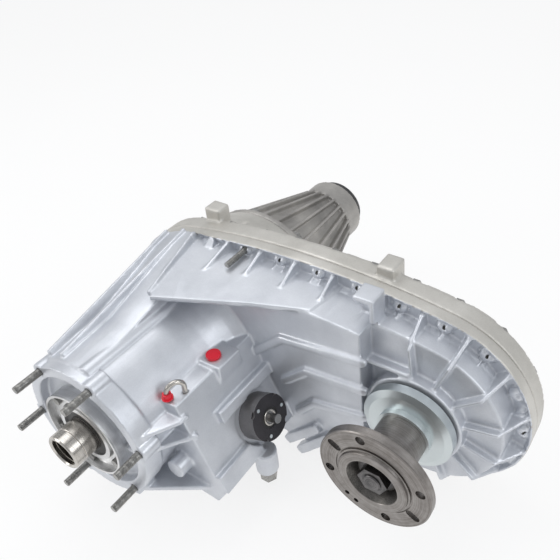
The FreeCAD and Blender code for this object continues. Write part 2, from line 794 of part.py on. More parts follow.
# Rear case: the other half of the chain case, with the barrel that carries the rear bearing.
def make_rear_case():
    wall = s.case_wall
    step = s.rear_step
    pieces = [
        case_plate("rear_rim", 0, s.parting, s.rim_rear),
        case_plate("rear_shell", s.rear_step_inset, s.parting, step),
        turned("barrel", [
            (0, s.parting), (s.barrel_radius, s.parting), (s.barrel_radius - 3, step),
            (s.barrel_end_radius, s.joint_rear), (0, s.joint_rear)]),
        cylinder("rear_output_boss", s.output_tail_bearing_radius + 12, step - 4, step + 8,
                 output_x, output_z),
        block("rear_lug", 235, 257, 252, 280, 100, 149),
        block("rear_lug_small", -28, -4, 264, 286, 96, 141),
    ]
    for index in range(5):
        angle = -44 + 22 * index
        pieces.append(fin(f"barrel_rib_{index}", 7, 60, s.barrel_radius + 40, s.barrel_end_radius,
                          step - 4, s.joint_rear - 4, 0, 0, angle))
    for index in range(8):
        angle = 22.5 + 45 * index
        pieces.append(fin(f"boss_rib_{index}", 6, 30, s.rim_output_radius - 30,
                          s.output_tail_bearing_radius + 14, step - 4, step + 8,
                          output_x, output_z, angle))
    inner = s.shelf_inset + wall
    rooms = [
        case_plate("rear_chain_room", inner, s.parting - 1, step - wall),
        turned("barrel_room", [
            (0, s.parting - 1), (s.barrel_radius - wall - 6, s.parting - 1),
            (s.barrel_end_radius - wall - 4, s.rear_bearing_front - wall),
            (0, s.rear_bearing_front - wall)]),
    ]
    hollow = cut("rear_case_hollow", joined("rear_case_outside", pieces), rooms)
    seats = [
        hollow,
        cylinder("tail_bearing_boss", s.output_tail_bearing_radius + 7, s.output_tail_bearing_front,
                 step - wall + 1, output_x, output_z),
        cylinder("rail_rear_boss", s.rail_radius + 6, step - wall - 3, step, s.rail_x, s.rail_z),
    ]
    solid = joined("rear_case_bosses", seats)
    gap = s.seat_gap
    bores = [
        cylinder("rear_bearing_bore", s.rear_bearing_radius + gap, s.rear_bearing_front,
                 s.rear_bearing_front + s.rear_bearing_width + 2),
        cylinder("rear_shaft_bore", s.rear_bearing_radius - 22, s.rear_bearing_front - 20,
                 s.rear_bearing_front + 1),
        cylinder("rear_mouth_bore", s.rear_bearing_radius - 5, s.rear_bearing_front,
                 s.joint_rear + 1),
        cylinder("tail_bearing_bore", s.output_tail_bearing_radius + gap, s.parting,
                 s.output_tail_bearing_front + s.output_tail_bearing_width, output_x, output_z),
        cylinder("rail_rear_bore", s.rail_radius + s.running_gap, s.parting, step - wall,
                 s.rail_x, s.rail_z),
    ]
    for index, (x, z, angle) in enumerate(rim_bolts):
        bores.append(cylinder(f"rear_bolt_bore_{index}", s.case_bolt_radius + s.running_gap,
                              s.parting - 1, s.rim_rear + 1, x, z))
        bores.append(cylinder(f"rear_bolt_seat_{index}", s.pad_radius, s.rim_rear - 1,
                              s.joint_rear, x, z))
    for index, (x, z) in enumerate(dowel_places()):
        bores.append(cylinder(f"rear_dowel_bore_{index}", s.dowel_radius + gap,
                              s.parting - 1, s.parting + s.dowel_depth, x, z))
    for index, (x, z) in enumerate(extension_bolt_places()):
        bores.append(cylinder(f"extension_tap_{index}", s.case_bolt_radius + s.running_gap,
                              s.joint_rear - 22, s.joint_rear + 1, x, z))
    node("rear_case", cut("rear_case_cast", solid, bores))


def extension_bolt_places():
    return on_circle(s.barrel_end_radius - 9, 8, 7.5)


make_rear_case()


# Rear extension: a finned cone with the tail bushing and seal at its end.
def make_rear_extension():
    front = s.joint_rear
    flange = front + s.extension_flange
    core = s.fin_height
    pieces = [turned("extension_core", [
        (s.barrel_end_radius - 18, front), (s.barrel_end_radius, front),
        (s.barrel_end_radius, flange), (s.fin_start_radius - core, flange),
        (s.fin_end_radius - core, s.fin_end), (s.tail_collar_radius, s.fin_end),
        (s.tail_collar_radius, s.tail_collar_end), (s.yoke_radius + s.bushing_wall, s.tail_collar_end),
        (s.yoke_radius + s.bushing_wall, s.fin_end - 6), (s.fin_end_radius - core - 8, s.fin_end - 12),
        (s.fin_start_radius - core - 8, flange)])]
    for index in range(int(s.fin_count.value)):
        angle = index * 360 / s.fin_count
        pieces.append(fin(f"extension_fin_{index}", s.fin_thickness, s.fin_end_radius - core - 6,
                          s.fin_start_radius, s.fin_end_radius, flange - 1, s.fin_end + 1, 0, 0, angle))
    clear = turned("extension_inside", [
        (0, front - 1), (s.barrel_end_radius - 18, front - 1), (s.fin_start_radius - core - 8, flange),
        (s.fin_end_radius - core - 8, s.fin_end - 12), (0, s.fin_end - 12)])
    tools = [clear]
    for index, (x, z) in enumerate(extension_bolt_places()):
        tools.append(cylinder(f"extension_bolt_bore_{index}", s.case_bolt_radius + s.running_gap,
                              front - 1, flange + 1, x, z))
        tools.append(cylinder(f"extension_bolt_seat_{index}", s.pad_radius, flange, flange + 16, x, z))
    tools.append(cylinder("tail_bushing_bore", s.yoke_radius + s.bushing_wall + s.seat_gap,
                          s.fin_end - 20, s.tail_collar_end + 1))
    node("rear_extension", cut("rear_extension_cast", joined("extension_outside", pieces), tools))
    node("tail_bushing", ring("bushing", s.yoke_radius, s.yoke_radius + s.bushing_wall,
                              s.fin_end - 6, s.fin_end - 6 + s.bushing_length))
    lip = s.tail_collar_end
    node("tail_seal", turned("rear_seal", [
        (s.yoke_radius + 0.3, lip - 10), (s.yoke_radius + s.bushing_wall, lip - 10),
        (s.yoke_radius + s.bushing_wall, lip), (s.tail_seal_radius + 2, lip),
        (s.tail_seal_radius, lip + 4), (s.tail_seal_radius - 3, s.tail_seal_end),
        (s.yoke_radius + 6, s.tail_seal_end), (s.yoke_radius + 0.3, lip + 2)]))


make_rear_extension()


# Bolts: hexagon heads on round shanks
def hexagon(name, across, front, rear, x=0, z=0):
    item = doc.addObject("Part::Prism", name)
    item.Polygon = 6
    bind(item, "Circumradius", sized(across) / math.sqrt(3))
    bind(item, "Height", rear - sized(front))
    return place(item, x, front, z, V(1, 0, 0), -90)


def group(label, items):
    item = doc.addObject("Part::Compound", label + "_group")
    item.Links = items
    return node(label, item)


def make_fasteners():
    shank = s.case_bolt_radius
    bolts = []
    for index, (x, z, angle) in enumerate(rim_bolts):
        tip = s.case_bolt_pad + s.case_bolt_cover + 0.5
        if index == stud_index:
            tip = s.case_bolt_pad - s.case_stud_reach
        body = [cylinder(f"case_shank_{index}", shank, tip, s.rim_rear + 1, x, z),
                hexagon(f"case_head_{index}", shank * 3.1, s.rim_rear - 1, s.rim_rear + 7, x, z)]
        bolts.append(joined(f"case_bolt_{index}", body))
    group("case_bolts", bolts[:stud_index] + bolts[stud_index + 1:])
    node("case_stud", bolts[stud_index])
    tail = []
    flange = s.joint_rear + s.extension_flange
    for index, (x, z) in enumerate(extension_bolt_places()):
        body = [cylinder(f"extension_shank_{index}", shank, s.joint_rear - 20, flange + 1, x, z),
                hexagon(f"extension_head_{index}", shank * 3.1, flange, flange + 7, x, z)]
        tail.append(joined(f"extension_bolt_{index}", body))
    group("extension_bolts", tail)
    studs = []
    for index, (x, z) in enumerate(stud_places):
        studs.append(turned(f"adapter_stud_{index}", [
            (0, -s.stud_reach), (stud_radius - 1.2, -s.stud_reach), (stud_radius, 1.5 - s.stud_reach),
            (stud_radius, 0), (stud_root, 0), (stud_root, s.stud_seat), (0, s.stud_seat)], x, z))
    group("adapter_studs", studs)
    caps = []
    for index, (x, z) in enumerate(retainer_bolt_places()):
        body = [cylinder(f"retainer_shank_{index}", retainer_bolt_radius, 0, s.flange_web + 13, x, z),
                hexagon(f"retainer_head_{index}", 9, -3.5, 1, x, z)]
        caps.append(joined(f"retainer_bolt_{index}", body))
    group("retainer_bolts", caps)


make_fasteners()


# Input bearing retainer: a pressed and turned ring with its bolts in an open recess
def make_retainer():
    inner = s.input_bearing_radius - 4
    face = s.flange_web
    body = turned("retainer_ring", [
        (s.nose_radius + 10, s.retainer_front + 4), (inner, s.retainer_front + 4), (inner + 1, 1),
        (s.retainer_radius - 4, 1), (s.retainer_radius - 3, s.retainer_front),
        (s.retainer_radius, s.retainer_front), (s.retainer_radius, face),
        (s.retainer_pilot, face), (s.retainer_pilot, s.input_bearing_front),
        (s.nose_radius + 10, s.input_bearing_front)])
    holes = []
    for index, (x, z) in enumerate(retainer_bolt_places()):
        holes.append(cylinder(f"retainer_hole_{index}", retainer_bolt_radius + s.running_gap,
                              -10, face + 10, x, z))
    node("input_bearing_retainer", cut("retainer_drilled", body, holes))
    node("input_seal", turned("front_seal", [
        (s.nose_radius + 0.3, s.retainer_front + 6), (s.nose_radius + 10 - s.seat_gap, s.retainer_front + 6),
        (s.nose_radius + 10 - s.seat_gap, s.input_bearing_front - 4),
        (s.nose_radius + 4, s.input_bearing_front - 4), (s.nose_radius + 0.3, s.retainer_front + 9)]))


make_retainer()


# Bearings: plain closed rings on their shafts
def bearing(label, shaft, seat, front, width, x=0, z=0):
    node(label, ring(label + "_ring", shaft + s.running_gap, seat, front, front + width, x, z))


bearing("input_bearing", s.nose_radius + 0.1, s.input_bearing_radius, s.input_bearing_front,
        s.input_bearing_width)
bearing("rear_bearing", s.rear_journal, s.rear_bearing_radius, s.rear_bearing_front,
        s.rear_bearing_width)
bearing("output_front_bearing", s.output_journal, s.output_bearing_radius, s.output_bearing_front,
        s.output_bearing_width, output_x, output_z)
bearing("output_rear_bearing", s.output_tail_radius, s.output_tail_bearing_radius,
        s.output_tail_bearing_front, s.output_tail_bearing_width, output_x, output_z)
node("bearing_snap_ring", ring("rear_snap", s.rear_bearing_radius - 4, s.rear_bearing_radius,
                               s.rear_bearing_front + s.rear_bearing_width,
                               s.rear_bearing_front + s.rear_bearing_width + 2))


# Gears: toothed outlines by formula, one trapezoid tooth after another
def toothed(teeth, tip, root_radius, tip_share, root_share, turn=0):
    """A closed outline of straight-sided teeth about the origin, in X and Z."""
    points = []
    pitch = 2 * math.pi / teeth
    for index in range(teeth):
        middle = index * pitch + turn
        for radius, share in ((root_radius, -root_share), (tip, -tip_share), (tip, tip_share),
                              (root_radius, root_share)):
            angle = middle + share * pitch
            points.append(V(radius * math.cos(angle), 0, radius * math.sin(angle)))
    return Part.makePolygon(points + points[:1])


def wheel(outline, bore, width):
    """A toothed wheel with a round bore, its front face across the origin."""
    solid = Part.Face(outline).extrude(V(0, width, 0))
    return solid.cut(Part.makeCylinder(bore, width, V(), V(0, 1, 0)))


def shaped(name, shape):
    item = doc.addObject("Part::Feature", name)
    item.Shape = shape
    return item


module = s.gear_module.value
sun_pitch = module * s.sun_teeth.value / 2
planet_pitch = module * s.planet_teeth.value / 2
planet_orbit = sun_pitch + planet_pitch
annulus_teeth = int(s.sun_teeth.value + 2 * s.planet_teeth.value)
annulus_pitch = sun_pitch + 2 * planet_pitch
sun_rear = s.sun_front + s.sun_width


def make_input_shaft():
    front = s.nose_front
    bearing_rear = s.input_bearing_front + s.input_bearing_width
    seat = s.nose_radius + 0.1
    shaft = turned("input_blank", [
        (s.nose_bore - s.spline_depth, front + 6), (s.nose_bore, front + 6), (s.nose_bore, front + 1.5),
        (s.nose_bore + 1.5, front), (s.nose_radius - 1.5, front), (s.nose_radius, front + 1.5),
        (s.nose_radius, -22), (s.nose_radius - 0.6, -21.4), (s.nose_radius, -20.8),
        (s.nose_radius, s.input_bearing_front), (seat, s.input_bearing_front), (seat, bearing_rear),
        (30, bearing_rear), (34, s.sun_front - 4), (34, s.sun_front + 1), (s.clutch_radius + 4, s.sun_front + 1),
        (s.clutch_radius + 4, sun_rear), (s.clutch_radius + 0.4, sun_rear),
        (s.clutch_radius + 0.4, sun_rear - 13), (s.pilot_radius + s.running_gap, sun_rear - 13),
        (s.pilot_radius + s.running_gap, 26), (s.nose_bore - s.spline_depth, 26)])
    outline = toothed(int(s.sun_teeth.value), sun_pitch + module * 0.9, sun_pitch - module * 1.15,
                      0.11, 0.36, math.pi / s.sun_teeth.value)
    teeth = shaped("sun_teeth_blank", wheel(outline, s.clutch_radius.value + 3, s.sun_width.value))
    place(teeth, 0, s.sun_front)
    slots = []
    count = int(s.input_spline_count.value)
    slot = Part.makeBox(s.nose_bore.value, 56, 1.7, V(0, front.value + 7, -0.85))
    for index in range(count):
        turned_slot = slot.copy()
        turned_slot.rotate(V(), V(0, 1, 0), index * 360 / count)
        slots.append(turned_slot)
    round_bar = Part.makeCylinder(s.nose_bore.value, 70, V(0, front.value, 0), V(0, 1, 0))
    tool = shaped("spline_slots", round_bar.common(Part.makeCompound(slots)))
    node("input_shaft", cut("input_shaft_splined", joined("input_shaft_joined", [shaft, teeth]), [tool]))


make_input_shaft()


def make_planetary():
    tip = annulus_pitch - module * 0.9
    root_radius = annulus_pitch + module * 1.15
    outline = toothed(annulus_teeth, tip, root_radius, 0.11, 0.36, math.pi / annulus_teeth)
    room = Part.Face(outline).extrude(V(0, s.annulus_rear.value - s.sun_front.value + 2, 0))
    rim = ring("annulus_blank", annulus_pitch - 5, s.drum_bore - s.seat_gap, s.sun_front, s.annulus_rear)
    node("annulus_gear", cut("annulus_cut", rim, [place(shaped("annulus_room", room), 0, s.sun_front - 1)]))
    count = int(s.planet_count.value)
    outline = toothed(int(s.planet_teeth.value), planet_pitch + module * 0.9,
                      planet_pitch - module * 1.15, 0.10, 0.35)
    plate = s.carrier_plate
    front = s.sun_front - plate - 1
    rear = sun_rear + 1
    holes = []
    pins = []
    posts = []
    for index in range(count):
        angle = 360 / count * index
        x = planet_orbit * math.cos(math.radians(angle))
        z = planet_orbit * math.sin(math.radians(angle))
        gear = shaped(f"planet_{index + 1}", wheel(
            outline, s.planet_pin_radius.value + s.running_gap.value, s.sun_width.value))
        node(f"planet_gear_{index + 1}", place(gear, x, s.sun_front, z))
        pins.append(cylinder(f"planet_pin_{index + 1}", s.planet_pin_radius, front - 1, rear + plate + 1, x, z))
        holes.append(cylinder(f"planet_pin_hole_{index + 1}", s.planet_pin_radius, front - 2,
                              rear + plate + 2, x, z))
        between = angle + 180 / count
        posts.append(cylinder(f"carrier_post_{index + 1}", 8, front + 1, rear + 1,
                              planet_orbit * math.cos(math.radians(between)),
                              planet_orbit * math.sin(math.radians(between))))
    group("planet_pins", pins)
    plates = [
        ring("carrier_front", sun_pitch + module + 1.5, s.carrier_radius, front, front + plate),
        ring("carrier_rear", s.clutch_radius + 0.4, s.carrier_radius, rear, rear + plate + 2),
    ]
    node("planet_carrier", cut("carrier_drilled", joined("carrier_joined", plates + posts), holes))


make_planetary()


# Main shaft and what rides on it
def make_main_line():
    run = s.running_gap
    radius = s.main_radius
    sprocket_rear = s.chain_front + s.chain_width
    journal = s.sprocket_journal
    node("main_shaft", turned("main_shaft_turned", [
        (0, sun_rear - 30), (s.pilot_radius, sun_rear - 30), (s.pilot_radius, sun_rear - 11),
        (radius, sun_rear - 11), (radius, 150), (radius - 2, 151), (radius - 2, 205),
        (journal, 206), (journal, s.mode_hub_front), (radius, s.mode_hub_front),
        (radius, s.mode_hub_front + s.mode_hub_width + 6), (radius - 2, s.mode_hub_front + s.mode_hub_width + 7),
        (radius - 2, s.rear_bearing_front - 1), (s.rear_journal, s.rear_bearing_front - 1),
        (s.rear_journal, s.rear_bearing_front + s.rear_bearing_width + 1),
        (radius, s.rear_bearing_front + s.rear_bearing_width + 3), (radius, s.joint_rear + 20),
        (s.tail_spline_radius, s.joint_rear + 24), (s.tail_spline_radius, s.tail_end - 2),
        (s.tail_spline_radius - 2, s.tail_end), (0, s.tail_end)]))
    groove = s.collar_groove_front
    width = s.collar_groove_width
    node("range_collar", turned("range_sleeve", [
        (radius + run, sun_rear - 9), (s.clutch_radius, sun_rear - 9), (s.clutch_radius, groove - 4),
        (s.collar_flange_radius, groove - 4), (s.collar_flange_radius, groove),
        (s.collar_groove_radius, groove), (s.collar_groove_radius, groove + width),
        (s.collar_flange_radius, groove + width), (s.collar_flange_radius, groove + width + 4),
        (radius + run, groove + width + 4)]))
    node("drive_sprocket_sleeve", ring("needle_sleeve", journal + run, journal + s.sleeve_wall,
                                       s.chain_front, sprocket_rear))
    hub = s.mode_hub_front
    node("mode_hub", ring("mode_hub_ring", radius + run, s.mode_hub_radius, hub + 0.5,
                          hub + s.mode_hub_width))
    inner = s.mode_hub_radius + run
    outer = s.mode_collar_radius
    start = sprocket_rear + 3
    node("mode_collar", turned("mode_sleeve", [
        (inner, start), (outer - 6, start), (outer - 6, start + 3), (outer, start + 3),
        (outer, start + 6), (outer - 6, start + 6), (outer - 6, start + 14), (outer, start + 14),
        (outer, start + 17), (inner, start + 17)]))
    node("oil_pump_rotor", ring("pump_rotor", radius - 2 + run, radius + 8, s.pump_front + 1,
                                s.pump_front + s.pump_width - 1))


make_main_line()


# Chain drive
def sprocket(name, bore, x=0, z=0):
    tip = s.sprocket_tip_radius.value
    outline = toothed(int(s.sprocket_teeth.value), tip, tip - s.sprocket_tooth_depth.value, 0.14, 0.36)
    item = shaped(name, wheel(outline, bore.value, s.chain_width.value))
    return place(item, x, s.chain_front, z)


def make_chain_drive():
    front = s.chain_front
    rear = front + s.chain_width
    bore = s.sprocket_journal + s.sleeve_wall + s.running_gap
    clutch = ring("drive_clutch_teeth", bore, s.mode_hub_radius, rear - 1, rear + 8)
    blank = sprocket("drive_blank", bore)
    node("drive_sprocket", joined("drive_sprocket_joined", [blank, clutch]))
    node("driven_sprocket", sprocket("driven_blank", s.sprocket_journal + s.running_gap, output_x, output_z))
    inner = s.sprocket_tip_radius.value + s.mesh_gap.value
    height = s.chain_height.value
    middle = inner + height / 2
    span = math.hypot(s.axis_distance.value, s.axis_rise.value)
    tilt = math.degrees(math.atan2(s.axis_rise.value, s.axis_distance.value))
    total = 2 * span + 2 * math.pi * middle
    count = int(s.chain_links.value)
    pitch = total / count
    links = []
    for index in range(count):
        distance = index * pitch
        link = chain_link(pitch, height)
        if distance < span:
            link.translate(V(distance, 0, middle))
        elif distance < span + math.pi * middle:
            link.translate(V(0, 0, middle))
            link.rotate(V(), V(0, 1, 0), math.degrees((distance - span) / middle))
            link.translate(V(span, 0, 0))
        elif distance < 2 * span + math.pi * middle:
            link.rotate(V(), V(0, 1, 0), 180)
            link.translate(V(2 * span + math.pi * middle - distance, 0, -middle))
        else:
            link.translate(V(0, 0, middle))
            link.rotate(V(), V(0, 1, 0), 180 + math.degrees((distance - 2 * span) / middle - math.pi))
        links.append(link)
    loop = Part.makeCompound(links)
    loop.rotate(V(), V(0, 1, 0), -tilt)
    loop.translate(V(0, front.value + 0.5, 0))
    node("drive_chain", shaped("chain_loop", loop))


def chain_link(pitch, height):
    """One stack of link plates: flat back outside and two short teeth inside."""
    half = pitch / 2 - 0.25
    points = [(-half, -height / 4), (-half, height / 2), (half, height / 2), (half, -height / 4),
              (half / 2, -height / 2), (0, -height / 5), (-half / 2, -height / 2)]
    outline = Part.makePolygon([V(x, 0, z) for x, z in points + points[:1]])
    return Part.Face(outline).extrude(V(0, s.chain_width.value - 1, 0))


make_chain_drive()


# Front output
def make_front_output():
    face = s.output_face
    rear = face + s.output_flange_thickness
    sleeve = s.output_hub_sleeve
    spline = s.output_spline_radius + s.running_gap
    nut_seat = face + 9
    body = turned("output_flange_turned", [
        (spline, nut_seat), (24, nut_seat), (24, face + s.output_pilot_depth + 1),
        (s.output_pilot_radius - 7, face + s.output_pilot_depth),
        (s.output_pilot_radius, face + s.output_pilot_depth), (s.output_pilot_radius, face),
        (s.output_flange_radius - 1, face), (s.output_flange_radius, face + 1),
        (s.output_flange_radius, rear), (sleeve + 6, rear), (sleeve, rear + 6),
        (sleeve, s.output_bearing_front - 0.5), (spline, s.output_bearing_front - 0.5)],
        output_x, output_z)
    holes = []
    places = on_circle(s.output_bolt_circle / 2, 4, s.output_bolt_phase, output_x, output_z)
    for index, (x, z) in enumerate(places):
        holes.append(cylinder(f"output_bolt_hole_{index}", s.output_bolt_hole, face - 1, rear + 1, x, z))
    node("output_flange", cut("output_flange_drilled", body, holes))
    node("output_shaft", turned("output_shaft_turned", [
        (0, s.shaft_front), (9, s.shaft_front), (10, s.shaft_front + 1), (10, nut_seat + 2),
        (s.output_spline_radius, nut_seat + 3), (s.output_spline_radius, s.output_bearing_front - 0.5),
        (s.output_journal, s.output_bearing_front - 0.5), (s.output_journal, 209),
        (s.sprocket_journal, 210), (s.sprocket_journal, s.chain_front + s.chain_width + 2),
        (s.output_tail_radius, s.chain_front + s.chain_width + 4),
        (s.output_tail_radius, s.output_tail_bearing_front + s.output_tail_bearing_width),
        (0, s.output_tail_bearing_front + s.output_tail_bearing_width)], output_x, output_z))
    washer = nut_seat
    node("flange_washer", ring("washer", s.output_spline_radius - 3.5, 20, washer - 2, washer,
                               output_x, output_z))
    nut = hexagon("nut_blank", 30, s.shaft_front + 2, washer - 2, output_x, output_z)
    hole = cylinder("nut_hole", 10 + s.running_gap, 0, 300, output_x, output_z)
    node("flange_nut", cut("flange_nut_bored", nut, [hole]))
    gap = s.seat_gap
    shield = s.shield_front
    node("dust_shield", turned("shield", [
        (sleeve + gap, shield), (sleeve + 3.5, shield), (sleeve + 3.5, shield + 7),
        (s.shield_radius - 8, shield + 8), (s.shield_radius, shield + 11),
        (s.shield_radius, s.shield_rear), (s.shield_radius - 1.5, s.shield_rear),
        (s.shield_radius - 1.5, shield + 12), (s.shield_radius - 9, shield + 9.5), (sleeve + gap, shield + 8.5)],
        output_x, output_z))
    node("output_seal", turned("front_output_seal", [
        (sleeve + 0.3, s.shield_rear - 5), (sleeve + 6, s.shield_rear - 5),
        (sleeve + 6, s.output_bearing_front - 1), (sleeve + 3, s.output_bearing_front - 1),
        (sleeve + 0.3, s.shield_rear)], output_x, output_z))


make_front_output()


# Selector: the round retainer on the side, its shaft, and the cam plate and forks inside
def on_selector(item, outward):
    lean_cos = cosine(s.side_lean)
    lean_sin = sine(s.side_lean)
    x = outward * lean_cos - s.selector_height * lean_sin
    z = outward * lean_sin + s.selector_height * lean_cos
    return place(item, x, s.selector_y, z, V(0, 1, 0), 90 - s.side_lean)


def upright(name, radius, height):
    item = doc.addObject("Part::Cylinder", name)
    bind(item, "Radius", radius)
    bind(item, "Height", height)
    return item


def make_selector():
    seat = s.selector_seat
    depth = s.selector_depth
    shaft = s.selector_shaft_radius
    outer = upright("retainer_drum", s.selector_radius, depth)
    inner = upright("retainer_drum_bore", shaft + s.running_gap, depth)
    recess = upright("retainer_drum_recess", shaft + 6, 4)
    place(recess, 0, 0, depth - 4)
    notches = []
    for index in range(4):
        notch = upright(f"retainer_notch_{index}", 5, 3)
        angle = 45 + 90 * index
        place(notch, (s.selector_radius + 2.5) * cosine(angle), (s.selector_radius + 2.5) * sine(angle),
              depth - 3)
        notches.append(notch)
    holes = []
    for index in range(3):
        hole = upright(f"selector_screw_hole_{index}", 2.2, 11)
        angle = 90 + 120 * index
        holes.append(place(hole, (s.selector_radius - 6) * cosine(angle),
                           (s.selector_radius - 6) * sine(angle), depth - 9.5))
    item = cut("selector_housing", outer, [inner, recess] + notches + holes)
    node("selector_retainer", on_selector(item, seat))
    seal_ring = cut("selector_seal_ring", upright("selector_seal_outer", shaft + 6 - s.seat_gap, 3),
                    [upright("selector_seal_inner", shaft + s.running_gap, 3)])
    node("selector_seal", on_selector(seal_ring, seat + depth - 4))
    inside = s.selector_inside
    length = seat + depth - inside
    bar = joined("selector_stepped", [
        upright("selector_bar", shaft, length),
        upright("selector_bar_end", s.selector_end_radius, length + s.selector_reach)])
    node("selector_shaft", on_selector(bar, inside))
    plate = joined("sector_blank", [upright("sector_hub", 15, 10), sector_arm()])
    hub = cut("sector_bored", plate, [upright("sector_bore", shaft, 10)])
    node("shift_sector", on_selector(hub, inside + 1))
    dots = []
    for index in range(3):
        dot = upright(f"selector_screw_{index}", 2.2, 10)
        angle = 90 + 120 * index
        place(dot, (s.selector_radius - 6) * cosine(angle), (s.selector_radius - 6) * sine(angle), -9.5)
        dots.append(dot)
    screws = doc.addObject("Part::Compound", "selector_screw_group")
    screws.Links = dots
    node("selector_screws", on_selector(screws, seat + depth))


def sector_arm():
    item = doc.addObject("Part::Box", "sector_plate")
    item.Length = 34
    item.Width = 22
    item.Height = 6
    item.Placement = FreeCAD.Placement(V(-34, -11, 2), FreeCAD.Rotation())
    return item


make_selector()


def make_forks():
    rail_end = s.rear_step - s.case_wall
    node("shift_rail", cylinder("rail_bar", s.rail_radius, s.box_room_front - 11.5, rail_end - 0.5,
                                s.rail_x, s.rail_z))
    lean = math.degrees(math.atan2(s.rail_z.value, s.rail_x.value))
    reach = math.hypot(s.rail_x.value, s.rail_z.value)
    for label, groove_radius, clear_radius, front, width, hub_front, hub_rear in [
            ("range_fork", s.collar_groove_radius, s.collar_flange_radius, s.collar_groove_front + 0.3,
             s.collar_groove_width - 0.6, 1, 6),
            ("mode_fork", s.mode_collar_radius - 6, s.mode_collar_radius,
             s.chain_front + s.chain_width + 9.3, 7.4, 6, 0)]:
        rear = front + width
        half = ring(label + "_yoke", groove_radius + 0.5, clear_radius + 7, front, rear)
        away = doc.addObject("Part::Box", label + "_away")
        away.Length = 120
        away.Width = 60
        away.Height = 200
        away.Placement = FreeCAD.Placement(V(-120, 0, -100), FreeCAD.Rotation())
        bind(away, "Placement.Base.y", front - 10)
        yoke = cut(label + "_half", half, [away])
        yoke.Placement = FreeCAD.Placement(V(), FreeCAD.Rotation(V(0, 1, 0), -lean))
        arm = doc.addObject("Part::Box", label + "_arm")
        bind(arm, "Length", reach - clear_radius - 3)
        bind(arm, "Width", width)
        arm.Height = 18
        turn = FreeCAD.Rotation(V(0, 1, 0), -lean)
        start = turn.multVec(V(clear_radius.value + 3, 0, -9))
        arm.Placement = FreeCAD.Placement(V(start.x, 0, start.z), turn)
        bind(arm, "Placement.Base.y", front)
        hub = cylinder(label + "_hub", s.rail_radius + 4, front - hub_front, rear + hub_rear,
                       s.rail_x, s.rail_z)
        bore = cylinder(label + "_bore", s.rail_radius + s.running_gap, front - 10, rear + 10,
                        s.rail_x, s.rail_z)
        node(label, cut(label + "_bored", joined(label + "_joined", [yoke, arm, hub]), [bore]))


make_forks()


# Oil pump in the barrel, with its pickup in the sump
def make_pump():
    front = s.pump_front
    rear = front + s.pump_width - 3
    body = ring("pump_body", s.main_radius + 2, s.pump_radius, front, s.rear_bearing_front - s.case_wall)
    room = cylinder("pump_room", s.main_radius + 10, front - 1, s.rear_bearing_front)
    node("oil_pump", cut("pump_bored", body, [room]))
    tube = doc.addObject("Part::Cylinder", "pickup_tube_bar")
    bind(tube, "Radius", 5)
    bind(tube, "Height", 44)
    node("oil_pickup", place(tube, 0, s.rear_bearing_front - s.case_wall - 5.3, -s.pump_radius - 44))


make_pump()


# Plugs, vent, dowels and magnet
def make_small_parts():
    plug = joined("plug_joined", [
        place(upright("plug_stem", s.plug_radius, 12), s.plug_x, s.plug_y, s.box_top - 9),
        place(upright("plug_cap", s.plug_radius + 1.2, 3.5), s.plug_x, s.plug_y, s.box_top + 3)])
    node("port_plug", plug)
    drain = doc.addObject("Part::Prism", "drain_hex")
    drain.Polygon = 6
    drain.Circumradius = 11
    drain.Height = 16
    node("drain_plug", joined("drain_joined", [
        place(upright("drain_stem", 9, 20), s.drain_x, s.drain_y, s.drain_z),
        place(drain, s.drain_x, s.drain_y, s.drain_z - 16)]))
    base = V(s.vent_x.value, s.vent_y.value, s.box_top.value)
    end = base + V(-s.vent_span.value * 0.45, -s.vent_span.value * 0.9, 0)
    radius = (end - base).Length / 2
    low = V(0, 0, 9)
    path = Part.Wire([
        Part.makeLine(base - V(0, 0, 8), base + low),
        Part.Arc(base + low, (base + end) * 0.5 + low + V(0, 0, radius), end + low).toShape(),
        Part.makeLine(end + low, end + V(0, 0, 3.5)),
    ])
    circle = Part.Wire(Part.makeCircle(s.vent_radius.value, base - V(0, 0, 8), V(0, 0, 1)))
    node("vent_tube", shaped("vent_hook", path.makePipeShell([circle], True, True)))
    cap = cut("vent_cap_cup", joined("vent_cap_outside", [
        place(upright("vent_cap_side", s.vent_radius + 2, 7), end.x, end.y, s.box_top + 2),
        place(upright("vent_cap_brim", s.vent_radius + 3.5, 1.5), end.x, end.y, s.box_top + 2)]),
        [place(upright("vent_cap_room", s.vent_radius + s.running_gap, 10), end.x, end.y, s.box_top + 3.3)])
    node("vent_cap", cap)
    dowels = []
    for index, (x, z) in enumerate(dowel_places()):
        dowels.append(cylinder(f"dowel_{index}", s.dowel_radius, s.parting - s.dowel_depth,
                               s.parting + s.dowel_depth, x, z))
    group("case_dowels", dowels)
    node("sump_magnet", cylinder("magnet", 12, s.parting + 2, s.rear_step - s.case_wall, 150, -80))


make_small_parts()
doc.recompute()

failed = []
for item in doc.Objects:
    if "Invalid" in item.State or "Error" in item.State:
        failed.append(f"{item.Label}: {item.State}")
for item in NODES:
    if item.Shape.isNull() or not item.Shape.isValid():
        failed.append(f"{item.Label}: shape")
if failed:
    raise RuntimeError("failed: " + ", ".join(failed))
os.makedirs("parts", exist_ok=True)
for item in NODES:
    item.Shape.exportStep(f"parts/{item.Label}.step")
    print(item.Label, len(item.Shape.Solids), round(item.Shape.Volume))
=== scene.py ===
import bmesh
import bpy
import math
from mathutils import Matrix, Vector
from mathutils.kdtree import KDTree


